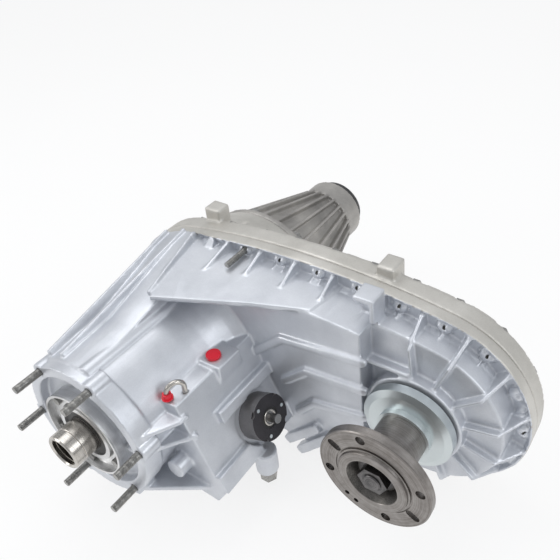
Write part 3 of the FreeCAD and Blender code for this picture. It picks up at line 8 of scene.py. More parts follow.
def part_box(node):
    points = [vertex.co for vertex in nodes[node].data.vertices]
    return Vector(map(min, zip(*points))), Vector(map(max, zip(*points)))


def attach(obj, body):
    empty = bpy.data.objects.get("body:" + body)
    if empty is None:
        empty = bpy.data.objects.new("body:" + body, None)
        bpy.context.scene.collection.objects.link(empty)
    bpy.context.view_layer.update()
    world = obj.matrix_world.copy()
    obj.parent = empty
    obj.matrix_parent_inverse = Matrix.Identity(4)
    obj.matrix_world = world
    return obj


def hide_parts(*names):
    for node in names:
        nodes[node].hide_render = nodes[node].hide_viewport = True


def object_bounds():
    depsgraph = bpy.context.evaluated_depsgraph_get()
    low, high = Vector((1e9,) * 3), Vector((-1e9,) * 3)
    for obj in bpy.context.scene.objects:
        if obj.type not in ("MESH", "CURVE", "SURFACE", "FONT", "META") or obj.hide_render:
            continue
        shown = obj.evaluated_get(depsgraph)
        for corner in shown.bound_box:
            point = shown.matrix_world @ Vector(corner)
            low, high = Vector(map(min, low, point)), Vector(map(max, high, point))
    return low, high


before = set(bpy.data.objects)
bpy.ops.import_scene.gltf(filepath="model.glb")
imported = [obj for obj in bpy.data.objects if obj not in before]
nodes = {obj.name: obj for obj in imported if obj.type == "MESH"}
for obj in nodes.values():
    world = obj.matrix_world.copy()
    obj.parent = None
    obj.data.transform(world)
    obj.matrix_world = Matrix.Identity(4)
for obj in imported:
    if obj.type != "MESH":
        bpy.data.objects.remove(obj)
cad_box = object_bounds()
MM = 0.001


# Front case: one sand-cast aluminium housing, blasted to an even satin silver. Its band along the
# joint is left duller, where the skin was dressed after casting.
def put(tree, kind, sockets=None, **facts):
    """Adds one node with its settings, and its input values or links."""
    item = tree.nodes.new(kind)
    for name, value in facts.items():
        setattr(item, name, value)
    for name, value in (sockets or {}).items():
        socket = item.inputs[name]
        if isinstance(value, bpy.types.NodeSocket):
            tree.links.new(value, socket)
        else:
            socket.default_value = value
    return item


def pattern_group(name, inputs, outputs):
    """A shader node group with named inputs and outputs."""
    group = bpy.data.node_groups.new(name, "ShaderNodeTree")
    for label, value in inputs.items():
        kind = "NodeSocketVector" if isinstance(value, tuple) else "NodeSocketFloat"
        group.interface.new_socket(label, in_out="INPUT", socket_type=kind).default_value = value
    for label in outputs:
        group.interface.new_socket(label, in_out="OUTPUT", socket_type="NodeSocketFloat")
    return group, put(group, "NodeGroupInput"), put(group, "NodeGroupOutput")


def make_cast_grain():
    """Fine grain with pits for relief, and broad faint patches for tone."""
    group, given, result = pattern_group(
        "cast grain", {"Grain": 700.0, "Patches": 22.0}, ("Height", "Tone"))
    place = put(group, "ShaderNodeTexCoord").outputs["Object"]
    grain = put(group, "ShaderNodeTexNoise", {
        "Vector": place, "Scale": given.outputs["Grain"], "Detail": 3.0, "Roughness": 0.6})
    patches = put(group, "ShaderNodeTexNoise", {
        "Vector": place, "Scale": given.outputs["Patches"], "Detail": 4.0, "Roughness": 0.55})
    spots = put(group, "ShaderNodeTexVoronoi", {"Vector": place, "Scale": 260.0})
    pits = put(group, "ShaderNodeMapRange", {
        "Value": spots.outputs["Distance"], "From Min": 0.0, "From Max": 0.25,
        "To Min": -0.5, "To Max": 0.0})
    height = put(group, "ShaderNodeMath", {
        0: grain.outputs["Fac"], 1: pits.outputs["Result"]}, operation="ADD")
    fine = put(group, "ShaderNodeMath", {0: grain.outputs["Fac"], 1: 0.35}, operation="MULTIPLY")
    tone = put(group, "ShaderNodeMath", {
        0: patches.outputs["Fac"], 1: fine.outputs[0]}, operation="ADD")
    spread = put(group, "ShaderNodeMapRange", {
        "Value": tone.outputs[0], "From Min": 0.4, "From Max": 0.95})
    group.links.new(height.outputs[0], result.inputs["Height"])
    group.links.new(spread.outputs["Result"], result.inputs["Tone"])
    return group


CAST_GRAIN = make_cast_grain()


def new_finish(name):
    """An empty material with its shader and output."""
    material = bpy.data.materials.new(name)
    material.use_nodes = True
    tree = material.node_tree
    tree.nodes.clear()
    shader = put(tree, "ShaderNodeBsdfPrincipled")
    put(tree, "ShaderNodeOutputMaterial", {"Surface": shader.outputs["BSDF"]})
    return material, tree, shader


def blend_tones(tree, mask, low, high):
    """A colour between two, by a mask."""
    mix = put(tree, "ShaderNodeMix", data_type="RGBA")
    tree.links.new(mask, mix.inputs["Factor"])
    mix.inputs[6].default_value = (*low, 1)
    mix.inputs[7].default_value = (*high, 1)
    return mix.outputs[2]


def blend_values(tree, mask, low, high):
    """A number between two, by a mask."""
    span = put(tree, "ShaderNodeMapRange", {"Value": mask, "To Min": low, "To Max": high})
    return span.outputs["Result"]


def cast_finish(name, dull, pale, rough, relief):
    """Cast aluminium with fine grain and faint clouds."""
    material, tree, shader = new_finish(name)
    grain = put(tree, "ShaderNodeGroup", node_tree=CAST_GRAIN)
    tree.links.new(blend_tones(tree, grain.outputs["Tone"], dull, pale), shader.inputs["Base Color"])
    tree.links.new(blend_values(tree, grain.outputs["Tone"], rough + 0.07, rough - 0.05),
                   shader.inputs["Roughness"])
    shader.inputs["Metallic"].default_value = 0.62
    bump = put(tree, "ShaderNodeBump", {
        "Height": grain.outputs["Height"], "Strength": relief, "Distance": 0.0004})
    tree.links.new(bump.outputs["Normal"], shader.inputs["Normal"])
    return material


SATIN_CAST = cast_finish(
    "satin_cast_aluminium", (0.55, 0.57, 0.61), (0.71, 0.73, 0.77), 0.40, 0.3)
DULL_CAST = cast_finish(
    "dull_cast_aluminium", (0.47, 0.455, 0.42), (0.66, 0.64, 0.60), 0.46, 0.35)


def linked(name, mesh):
    """A new object in the scene, at the origin."""
    item = bpy.data.objects.new(name, mesh)
    bpy.context.scene.collection.objects.link(item)
    return item


def evaluated_mesh(item):
    """The plain mesh of an object with its modifiers applied."""
    depsgraph = bpy.context.evaluated_depsgraph_get()
    return bpy.data.meshes.new_from_object(item.evaluated_get(depsgraph))


def add_block(shell, outline, low, high, axis="Z"):
    """A closed slab on a shell, in millimetres: an outline between two levels along an axis."""
    order = {"X": (2, 0, 1), "Y": (0, 2, 1), "Z": (0, 1, 2)}[axis]
    rings = []
    for level in (low, high):
        rings.append([shell.verts.new([(a, b, level)[index] * MM for index in order])
                      for a, b in outline])
    count = len(outline)
    faces = [shell.faces.new(rings[0][::-1]), shell.faces.new(rings[1])]
    for index in range(count):
        after = (index + 1) % count
        faces.append(shell.faces.new(
            (rings[0][index], rings[0][after], rings[1][after], rings[1][index])))
    bmesh.ops.recalc_face_normals(shell, faces=faces)


def add_rib(shell, start, end, half, foot):
    """A slanted rib on a shell, in millimetres: its crest from start to end, down to the foot."""
    corners = [shell.verts.new(Vector((x + side * half, y, level)) * MM)
               for x, y, top in (start, end) for side in (-1, 1) for level in (foot, top)]
    bmesh.ops.convex_hull(shell, input=corners)


def cut_away(piece, tool_shell):
    """Takes a shell's closed solids out of a piece."""
    bmesh.ops.recalc_face_normals(tool_shell, faces=tool_shell.faces)
    mesh = bpy.data.meshes.new("tool")
    tool_shell.to_mesh(mesh)
    tool_shell.free()
    tool = linked("tool", mesh)
    cutter = piece.modifiers.new("cut", "BOOLEAN")
    cutter.operation = "DIFFERENCE"
    cutter.solver = "EXACT"
    cutter.object = tool
    piece.data = evaluated_mesh(piece)
    piece.modifiers.clear()
    bpy.data.objects.remove(tool)


def soften_casting(node, cell, passes, faces, extra=None, reshape=None):
    """A copy of a casting's solid with the small round corners that a mould leaves."""
    mesh = nodes[node].data.copy()
    shell = bmesh.new()
    shell.from_mesh(mesh)
    bmesh.ops.remove_doubles(shell, verts=shell.verts, dist=0.00001)
    if extra:
        extra(shell)
    shell.to_mesh(mesh)
    shell.free()
    piece = linked(node + "_cast", mesh)
    skin = piece.modifiers.new("skin", "REMESH")
    skin.mode = "VOXEL"
    skin.voxel_size = cell * MM
    if reshape:
        piece.data = evaluated_mesh(piece)
        piece.modifiers.clear()
        reshape(piece.data)
    corners = piece.modifiers.new("corners", "SMOOTH")
    corners.factor = 0.5
    corners.iterations = passes
    piece.data = evaluated_mesh(piece)
    piece.modifiers.clear()
    triangles = sum(len(face.vertices) - 2 for face in piece.data.polygons)
    if triangles > faces:
        fewer = piece.modifiers.new("fewer", "DECIMATE")
        fewer.ratio = faces / triangles
        piece.data = evaluated_mesh(piece)
        piece.modifiers.clear()
    piece.data.shade_smooth()
    print(node, "casting", triangles, "->", len(piece.data.polygons))
    return piece


def cover_node(piece, material, slot, body, *replaced):
    """Dresses a piece, fixes it to its body and lets it stand in for CAD nodes."""
    piece.data.materials.clear()
    piece.data.materials.append(material)
    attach(piece, body)
    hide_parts(*replaced)


def darken_where(piece, material, test):
    """Gives the faces that pass a test of centre and normal a second material."""
    piece.data.materials.append(material)
    last = len(piece.data.materials) - 1
    for face in piece.data.polygons:
        if test(face.center, face.normal):
            face.material_index = last


def loose_middles(name):
    """The middle, as (x, z), of each loose piece of a node."""
    shell = bmesh.new()
    shell.from_mesh(nodes[name].data)
    bmesh.ops.remove_doubles(shell, verts=shell.verts, dist=0.00001)
    middles = []
    seen = set()
    for start in shell.verts:
        if start in seen:
            continue
        piece = [start]
        seen.add(start)
        for corner in piece:
            for edge in corner.link_edges:
                other = edge.other_vert(corner)
                if other not in seen:
                    seen.add(other)
                    piece.append(other)
        low_x, high_x = min(v.co.x for v in piece), max(v.co.x for v in piece)
        low_z, high_z = min(v.co.z for v in piece), max(v.co.z for v in piece)
        middles.append(((low_x + high_x) / 2, (low_z + high_z) / 2))
    shell.free()
    return middles


# Levels along Y and widths of the front case, in millimetres.
RIM_FACE = 230.0
POCKET_FLOOR = 236.0
PAD_FACE = 225.0
PAD_SUNK = 232.6
PARTING = 246.0
LIP_WIDTH = 3.4
PAD_REACH = 10.2
FLAT_WIDTH = 17.0
FLAT_FADE = 2.3
ROUND_END_CENTRES = (-12.0, 312.7)
SHELF_TOP = 118.0
SHELF_UNDERSIDE = 113.0
SHELF_END = 62.0
bolt_places = loose_middles("case_bolts") + loose_middles("case_stud")
rim_walls = []


def flat_tree(points):
    """A search tree over (x, z) points."""
    tree = KDTree(len(points))
    for index, (x, z) in enumerate(points):
        tree.insert((x, 0.0, z), index)
    tree.balance()
    return tree


SHELF_EDGE = [(-20, 232), (-8, 160), (15, 115), (124, 161), (190, 184), (200, 232)]
SHELF_RIB = (35, 39.5)
SLANTED_RIB = ((8, 120, 119), (-18, 230, 128))


def shelf_front(x):
    """Where the shelf's front edge runs, as Y."""
    return 115 + (x - 15) * 46 / 109 if x < 124 else 161 + (x - 124) * 23 / 66


def cone_radius(y):
    """The radius of the drum's cone behind the shelf."""
    rise = y - 190
    return 121.6 + 0.2075 * rise - 0.00137 * rise * rise


def slanted_rib_side(y):
    """Where the right foot of the slanted rib runs, as X."""
    return 10.4 - 26 * (y - 120) / 110


def level_shelf(places, facings):
    """Thins the shelf's edge from below and cuts the drum's cone down to the shelf's top."""
    for place, facing in zip(places, facings):
        if 106.5 < place.z < SHELF_UNDERSIDE and -25 < place.x < 200 and 110 < place.y < 200:
            at_edge = place.x > 12 and abs(place.y - shelf_front(place.x)) < 2.2
            if facing.z < -0.7 or at_edge:
                place.z = SHELF_UNDERSIDE
        if (slanted_rib_side(place.y) < place.x < SHELF_END and abs(place.x - 37.2) > 2.8
                and 150 < place.y < RIM_FACE - 0.4 and place.z > SHELF_TOP
                and math.hypot(place.x, place.z) < cone_radius(place.y) + 1.2):
            place.z = SHELF_TOP
            if place.y > RIM_FACE - 3:
                place.y = POCKET_FLOOR


# The lug on the rim is a plate with one leg: the room under its left half is open.
LUG_ROOM = ((236.5, 255.5), (193.0, 216.0), (109.5, 141.0))
LUG_LEG_FRONT = ((254.0, 264.5), (193.0, 204.6), (102.0, 118.0))


def press_back(places, reach_x, reach_y, reach_z):
    """Lays every place inside a box on the box's rear face."""
    for place in places:
        if (reach_x[0] < place.x < reach_x[1] and reach_y[0] < place.y < reach_y[1]
                and reach_z[0] < place.z < reach_z[1]):
            place.y = reach_y[1]


def sink_rim_pockets(mesh):
    """Sinks the rim's front face and its bolt pads behind a narrow lip, as the casting has them."""
    places = [vert.co.copy() / MM for vert in mesh.vertices]
    facings = [vert.normal.copy() for vert in mesh.vertices]
    outer = []
    for place, facing in zip(places, facings):
        if RIM_FACE + 4 < place.y < PARTING - 4 and abs(facing.y) < 0.3:
            centre_x = min(max(place.x, ROUND_END_CENTRES[0]), ROUND_END_CENTRES[1])
            if facing.x * (place.x - centre_x) + facing.z * place.z > 0:
                outer.append((place.x, place.z))
    wall = flat_tree(outer)
    bolts = flat_tree([(x / MM, z / MM) for x, z in bolt_places])
    for place, facing in zip(places, facings):
        if not PAD_FACE - 4 < place.y < RIM_FACE + 6:
            continue
        flat = (place.x, 0.0, place.z)
        on_face = abs(place.y - RIM_FACE) < 0.6 and facing.y < -0.6
        if bolts.find(flat)[2] < PAD_REACH:
            if wall.find(flat)[2] < LIP_WIDTH:
                place.y = max(place.y, RIM_FACE)
            else:
                share = (place.y - PAD_FACE) / (PARTING - PAD_FACE)
                sunk = PAD_SUNK + share * (PARTING - PAD_SUNK)
                hold = min(max((wall.find(flat)[2] - FLAT_WIDTH) / FLAT_FADE, 0.0), 1.0)
                place.y = sunk + (place.y - sunk) * hold
        elif on_face and wall.find(flat)[2] > LIP_WIDTH:
            place.y = POCKET_FLOOR
    level_shelf(places, facings)
    press_back(places, *LUG_ROOM)
    press_back(places, *LUG_LEG_FRONT)
    mesh.vertices.foreach_set("co", [value * MM for place in places for value in place])
    mesh.update()
    rim_walls.append(wall)


def capsule(x0, z0, x1, z1, half):
    """The outline of a bar with round ends."""
    turn = math.atan2(z1 - z0, x1 - x0)
    outline = []
    for (x, z), start in (((x1, z1), turn - math.pi / 2), ((x0, z0), turn + math.pi / 2)):
        for index in range(9):
            angle = start + math.pi * index / 8
            outline.append((x + half * math.cos(angle), z + half * math.sin(angle)))
    return outline


# Outlines in millimetres: the gussets as (x, y) with their levels along Z, the ribs of the chain
# wall as (x, z) start, knee and end, and the two short ribs under the wall as start and end.
GUSSETS = [
    ([(64, 14), (79, 7), (84, 7), (107.5, 45.5), (107.5, 56), (81, 56), (81, 33), (64, 30)],
     25.5, 30.5),
    ([(66, 20), (77, 11), (82, 11), (112, 46), (112, 58), (85, 58), (85, 33), (66, 30)], 0, 5)]
WALL_RIBS = [((107, 24), (149, 62), (258, 76)), ((145, -9), (180, 24), (258, 32)),
             ((162, -55), (188, -26), (258, -11))]
LOW_RIBS = [((144, -114), (187, -70)), ((162, -124), (206, -76))]


def add_case_forms(shell):
    """Gussets at the mounting flange, broad rounded feet of the wall's ribs, the shelf's top."""
    for outline, low, high in GUSSETS:
        add_block(shell, outline, low, high)
    for start, knee, end in WALL_RIBS:
        add_block(shell, capsule(*start, *knee, 5.2), 175.6, 182, "Y")
        add_block(shell, capsule(*knee, *end, 5.2), 175.6, 182, "Y")
    add_block(shell, SHELF_EDGE, SHELF_UNDERSIDE - 0.5, SHELF_TOP)
    add_rib(shell, *SLANTED_RIB, 2.0, 112)
    add_block(shell, [(172, 116), (232, 116), (232, 129), (228, 129)], *SHELF_RIB, "X")
    for start, end in LOW_RIBS:
        add_block(shell, capsule(*start, *end, 6.5), 171.8, 184, "Y")


front_casting = soften_casting("front_case", 1.4, 4, 194000, add_case_forms, sink_rim_pockets)
cover_node(front_casting, SATIN_CAST, "cast_aluminium", "case", "front_case")
# The dressed band is the rim's outer wall, as thin a skin as this.
BAND_SKIN = 1.6
darken_where(front_casting, DULL_CAST, lambda centre, normal: (
    centre.y > (RIM_FACE + 0.7) * MM
    and rim_walls[0].find((centre.x / MM, 0.0, centre.z / MM))[2] < BAND_SKIN))

# Case bolts: the tips lie just under the sunk pads, and the heads stand low behind the rear flange.
BOLT_TIP = PAD_SUNK + 1.6
HEAD_FOOT = 270.0
HEAD_SHARE = 0.55
bolt_mesh = nodes["case_bolts"].data.copy()
for vert in bolt_mesh.vertices:
    y = vert.co.y / MM
    if y < BOLT_TIP:
        vert.co.y = BOLT_TIP * MM
    elif y > HEAD_FOOT:
        vert.co.y = (HEAD_FOOT + (y - HEAD_FOOT) * HEAD_SHARE) * MM
case_bolts_shown = linked("case_bolts_shown", bolt_mesh)


# Rear case: the plainer half of the chain case, in the same alloy but a warmer, duller silver.
cover_node(soften_casting("rear_case", 1.8, 4, 120000), DULL_CAST, "cast_aluminium", "case",
           "rear_case")


# Rear extension: a finned cone in unblasted casting, grey with faint random patches. It is
# bolted to the rear case and carries the tail bushing and a black rubber seal.
GREY_CAST = cast_finish(
    "grey_cast_aluminium", (0.27, 0.26, 0.25), (0.50, 0.48, 0.45), 0.46, 0.45)
cover_node(soften_casting("rear_extension", 1.5, 3, 150000), GREY_CAST, "cast_aluminium", "case",
           "rear_extension")


def dress(material, *names):
    """Gives CAD nodes their finish."""
    for name in names:
        nodes[name].data.materials.clear()
        nodes[name].data.materials.append(material)


def moulded_finish(name, low, high, rough, grain_size, relief):
    """Rubber or plastic with a fine moulded grain."""
    material, tree, shader = new_finish(name)
    grain = put(tree, "ShaderNodeGroup", node_tree=CAST_GRAIN)
    grain.inputs["Grain"].default_value = grain_size
    grain.inputs["Patches"].default_value = 60.0
    tree.links.new(blend_tones(tree, grain.outputs["Tone"], low, high), shader.inputs["Base Color"])
    tree.links.new(blend_values(tree, grain.outputs["Tone"], rough + 0.08, rough - 0.05),
                   shader.inputs["Roughness"])
    bump = put(tree, "ShaderNodeBump", {
        "Height": grain.outputs["Height"], "Strength": relief, "Distance": 0.0003})
    tree.links.new(bump.outputs["Normal"], shader.inputs["Normal"])
    return material


SEAL_RUBBER = moulded_finish(
    "seal_rubber", (0.012, 0.012, 0.013), (0.035, 0.034, 0.034), 0.5, 1500.0, 0.25)
dress(SEAL_RUBBER, "tail_seal", "input_seal", "output_seal", "selector_seal")


# Turned steel parts: shafts, flange and nut show the fine rings of the lathe round their own axis.
def make_lathe_rings():
    """Fine rings round an axis along Y through a centre, with stain."""
    group, given, result = pattern_group(
        "lathe rings", {"Centre": (0.0, 0.0, 0.0), "Spacing": 0.0007}, ("Height", "Tone"))
    place = put(group, "ShaderNodeTexCoord").outputs["Object"]
    gap = put(group, "ShaderNodeVectorMath", {0: place, 1: given.outputs["Centre"]},
              operation="SUBTRACT").outputs[0]
    parts = put(group, "ShaderNodeSeparateXYZ", {"Vector": gap})
    flat = put(group, "ShaderNodeCombineXYZ", {"X": parts.outputs["X"], "Y": parts.outputs["Z"]})
    radius = put(group, "ShaderNodeVectorMath", {0: flat.outputs[0]}, operation="LENGTH")
    across = put(group, "ShaderNodeMath", {
        0: radius.outputs["Value"], 1: given.outputs["Spacing"]}, operation="DIVIDE")
    along = put(group, "ShaderNodeMath", {
        0: parts.outputs["Y"], 1: given.outputs["Spacing"]}, operation="DIVIDE")
    cell = put(group, "ShaderNodeCombineXYZ", {"X": across.outputs[0], "Y": along.outputs[0]})
    rings = put(group, "ShaderNodeTexNoise", {
        "Vector": cell.outputs[0], "Scale": 1.0, "Detail": 2.0, "Roughness": 0.6},
        noise_dimensions="2D")
    blotches = put(group, "ShaderNodeTexNoise", {
        "Vector": place, "Scale": 90.0, "Detail": 5.0, "Roughness": 0.65})
    tone = put(group, "ShaderNodeMath", {
        0: rings.outputs["Fac"], 1: blotches.outputs["Fac"]}, operation="ADD")
    spread = put(group, "ShaderNodeMapRange", {
        "Value": tone.outputs[0], "From Min": 0.72, "From Max": 1.28})
    group.links.new(rings.outputs["Fac"], result.inputs["Height"])
    group.links.new(spread.outputs["Result"], result.inputs["Tone"])
    return group


LATHE_RINGS = make_lathe_rings()


def turned_finish(name, low, high, rough, relief, centre=(0.0, 0.0, 0.0), spacing=0.0007):
    """Turned metal between two tones, with the lathe's rings."""
    material, tree, shader = new_finish(name)
    rings = put(tree, "ShaderNodeGroup", node_tree=LATHE_RINGS)
    rings.inputs["Centre"].default_value = centre
    rings.inputs["Spacing"].default_value = spacing
    tree.links.new(blend_tones(tree, rings.outputs["Tone"], low, high), shader.inputs["Base Color"])
    tree.links.new(blend_values(tree, rings.outputs["Tone"], rough + 0.08, rough - 0.06),
                   shader.inputs["Roughness"])
    shader.inputs["Metallic"].default_value = 1.0
    bump = put(tree, "ShaderNodeBump", {
        "Height": rings.outputs["Height"], "Strength": relief, "Distance": 0.0002})
    tree.links.new(bump.outputs["Normal"], shader.inputs["Normal"])
    return material


BRIGHT_STEEL = turned_finish(
    "bright_turned_steel", (0.42, 0.40, 0.37), (0.62, 0.59, 0.55), 0.24, 0.25)
# Dark steel: the chain's and the sump magnet's own colour, and painted shade inside the flange's deep
# cup.
DARK_STEEL_AND_CUP_SHADE = turned_finish("dark_steel", (0.06, 0.058, 0.055), (0.17, 0.16, 0.15), 0.42, 0.3)
GEAR_STEEL = turned_finish("gear_steel", (0.25, 0.25, 0.25), (0.42, 0.41, 0.40), 0.33, 0.2)
dress(BRIGHT_STEEL, "input_shaft", "input_bearing")
dress(GEAR_STEEL, "annulus_gear", "planet_gear_1", "planet_gear_2", "planet_gear_3", "planet_gear_4",
      "planet_pins", "planet_carrier", "main_shaft", "range_collar", "drive_sprocket_sleeve",
      "mode_hub", "mode_collar", "oil_pump_rotor", "drive_sprocket", "driven_sprocket",
      "rear_bearing", "output_front_bearing", "output_rear_bearing", "bearing_snap_ring",
      "shift_rail", "shift_sector", "case_dowels", "tail_bushing")
dress(DARK_STEEL_AND_CUP_SHADE, "drive_chain", "sump_magnet")

# Input bearing retainer: a pale machined aluminium ring, held by six small cap screws.
RING_ALLOY = turned_finish("machined_aluminium", (0.60, 0.60, 0.60), (0.78, 0.78, 0.78), 0.34, 0.25,
                           spacing=0.0009)
dress(RING_ALLOY, "input_bearing_retainer")

# Forks, pump body and oil pickup: rough castings and a pressed part inside the case.
dress(DULL_CAST, "range_fork", "mode_fork", "oil_pump", "oil_pickup")

# Front output: a forged and turned flange, left bare, so a thin brown film of rust stands on it.
# A zinc-plated dust shield is pressed on its hub, and the nut is dark.
output_low, output_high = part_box("output_flange")
OUTPUT_CENTRE = ((output_low.x + output_high.x) / 2, 0.0, (output_low.z + output_high.z) / 2)
BARE_STEEL = turned_finish("bare_turned_steel", (0.19, 0.172, 0.16), (0.32, 0.302, 0.288), 0.36, 0.25,
                           OUTPUT_CENTRE, 0.0011)


def plated_finish(name, low, high, rough):
    """A smooth metal plating with faint broad clouds and no tool marks."""
    material, tree, shader = new_finish(name)
    place = put(tree, "ShaderNodeTexCoord").outputs["Object"]
    cloud = put(tree, "ShaderNodeTexNoise", {
        "Vector": place, "Scale": 24.0, "Detail": 3.0, "Roughness": 0.5}).outputs["Fac"]
    tree.links.new(blend_tones(tree, cloud, low, high), shader.inputs["Base Color"])
    tree.links.new(blend_values(tree, cloud, rough + 0.06, rough - 0.06), shader.inputs["Roughness"])
    shader.inputs["Metallic"].default_value = 0.85
    return material


ZINC_PLATE = plated_finish("zinc_plate", (0.56, 0.61, 0.62), (0.70, 0.75, 0.76), 0.30)
NUT_STEEL = turned_finish("oiled_nut_steel", (0.06, 0.06, 0.06), (0.20, 0.19, 0.19), 0.34, 0.3,
                          OUTPUT_CENTRE, 0.0008)


def lathe_mesh(name, profile, centre, steps=160):
    """A mesh turned round an axis along Y through the centre; the profile is closed (radius, y)."""
    shell = bmesh.new()
    first = [shell.verts.new((centre[0] + radius * MM, y * MM, centre[2])) for radius, y in profile]
    edges = [shell.edges.new((first[index - 1], first[index])) for index in range(len(first))]
    bmesh.ops.spin(shell, geom=first + edges, cent=centre, axis=(0, 1, 0), angle=math.tau,
                   steps=steps, use_merge=True, use_duplicate=False)
    bmesh.ops.remove_doubles(shell, verts=shell.verts, dist=0.000002)
    bmesh.ops.recalc_face_normals(shell, faces=shell.faces)
    mesh = bpy.data.meshes.new(name)
    shell.to_mesh(mesh)
    shell.free()
    return mesh


def drill(piece, places, front, rear):
    """Cuts holes along Y; a place is (x, z, radius, length of a slot, its angle)."""
    tools = bmesh.new()
    for x, z, radius, length, angle in places:
        away_x, away_z = length / 2 * math.cos(angle), length / 2 * math.sin(angle)
        add_block(tools, capsule(x - away_x, z - away_z, x + away_x, z + away_z, radius), front, rear,
                  "Y")
    cut_away(piece, tools)


def smooth_by_angle(piece, degrees):
    """Smooth shading that keeps every edge sharper than the angle."""
    shell = bmesh.new()
    shell.from_mesh(piece.data)
    for edge in shell.edges:
        edge.smooth = edge.is_manifold and edge.calc_face_angle(0.0) < math.radians(degrees)
    for face in shell.faces:
        face.smooth = True
    shell.to_mesh(piece.data)
    shell.free()


# The flange's face carries a raised pilot ring with a groove round its foot and a deep cup for
# the nut; four bolt holes, two slots and two locating holes go through the plate.
FACE = output_low.y / MM
PILOT = FACE - 4.4
HUB_END = output_high.y / MM
CUP_RADIUS = 0.0297
flange_profile = [
    (14.1, FACE + 9.0), (23.0, FACE + 9.0), (25.0, FACE + 5.0), (29.4, PILOT + 0.5),
    (30.0, PILOT), (39.6, PILOT), (40.4, PILOT + 0.7), (40.8, FACE - 1.4), (42.6, FACE - 0.9),
    (42.6, FACE + 0.9), (44.2, FACE + 0.9), (44.2, FACE), (64.0, FACE), (65.0, FACE + 1.0),
    (65.0, FACE + 9.8), (64.0, FACE + 10.8), (34.5, FACE + 10.8), (30.2, FACE + 12.4),
    (28.5, FACE + 16.8), (28.5, HUB_END), (14.1, HUB_END)]
flange_holes = []
for index in range(4):
    turn = math.radians(104.3 + 90.0 * index)
    flange_holes.append((54.6 * math.cos(turn), 54.6 * math.sin(turn), 5.5, 0.0, 0.0))
for turn in (math.radians(148.8), math.radians(-31.2)):
    flange_holes.append((52.6 * math.cos(turn), 52.6 * math.sin(turn), 4.6, 7.4, turn))
for turn in (math.radians(-127.0), math.radians(-114.0)):
    flange_holes.append((55.0 * math.cos(turn), 55.0 * math.sin(turn), 2.9, 0.0, 0.0))
flange_holes = [(x + OUTPUT_CENTRE[0] / MM, z + OUTPUT_CENTRE[2] / MM, radius, length, turn)
                for x, z, radius, length, turn in flange_holes]
flange_piece = linked("flange_forging", lathe_mesh("flange_forging", flange_profile, OUTPUT_CENTRE))
drill(flange_piece, flange_holes, FACE - 2.0, FACE + 14.0)
smooth_by_angle(flange_piece, 24.0)
cover_node(flange_piece, BARE_STEEL, "rusty_steel", "front_output", "output_flange")
flange_axis = Vector((OUTPUT_CENTRE[0], OUTPUT_CENTRE[2]))
# Painted shade: the faces inside the flange's deep cup, round the nut, take the dark steel so that the
# hollow reads as shadowed.
darken_where(flange_piece, DARK_STEEL_AND_CUP_SHADE, lambda centre, normal: (
    (Vector((centre.x, centre.z)) - flange_axis).length < CUP_RADIUS
    and (PILOT + 0.4) * MM < centre.y < (FACE + 9.5) * MM))
dress(NUT_STEEL, "output_shaft", "flange_washer", "flange_nut")
dress(ZINC_PLATE, "dust_shield")

# Selector: a gunmetal retainer cap screwed to the leaning side face, round a short steel shaft.
GUNMETAL = cast_finish("gunmetal_cap", (0.13, 0.125, 0.125), (0.26, 0.25, 0.25), 0.36, 0.3)
dress(GUNMETAL, "selector_retainer")
selector_way = Vector((0.931691, 0.0, 0.363251))
COVER_BLACK = cast_finish(
    "selector_cover_black", (0.034, 0.032, 0.036), (0.065, 0.061, 0.067), 0.42, 0.3)
darken_where(nodes["selector_retainer"], COVER_BLACK,
             lambda centre, normal: normal.dot(selector_way) > 0.9)
dress(ZINC_PLATE, "selector_screws")
dress(GEAR_STEEL, "selector_shaft")
selector_ring = linked("selector_ring", lathe_mesh("selector_ring", [
    (7.3, -0.9), (9.6, -0.9), (9.6, 0.1), (9.1, 0.5), (7.8, 0.5), (7.3, 0.1)], (0.0, 0.0, 0.0), 64))
selector_face = Vector((0.157642, 0.1364, -0.027731)) - selector_way * 0.0065
lean = Vector((0, 1, 0)).rotation_difference(selector_way).to_matrix().to_4x4()
selector_ring.data.transform(Matrix.Translation(selector_face) @ lean)
smooth_by_angle(selector_ring, 40.0)
selector_ring.data.materials.append(BRIGHT_STEEL)
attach(selector_ring, "case")

# Studs and bolts: rolled threads in dull zinc-plated steel.
STUD_ZINC = turned_finish("dull_zinc_steel", (0.24, 0.235, 0.225), (0.44, 0.435, 0.42), 0.36, 0.15,
                          spacing=0.0012)
dress(STUD_ZINC, "extension_bolts", "retainer_bolts")
cover_node(case_bolts_shown, STUD_ZINC, "zinc_steel", "case", "case_bolts")


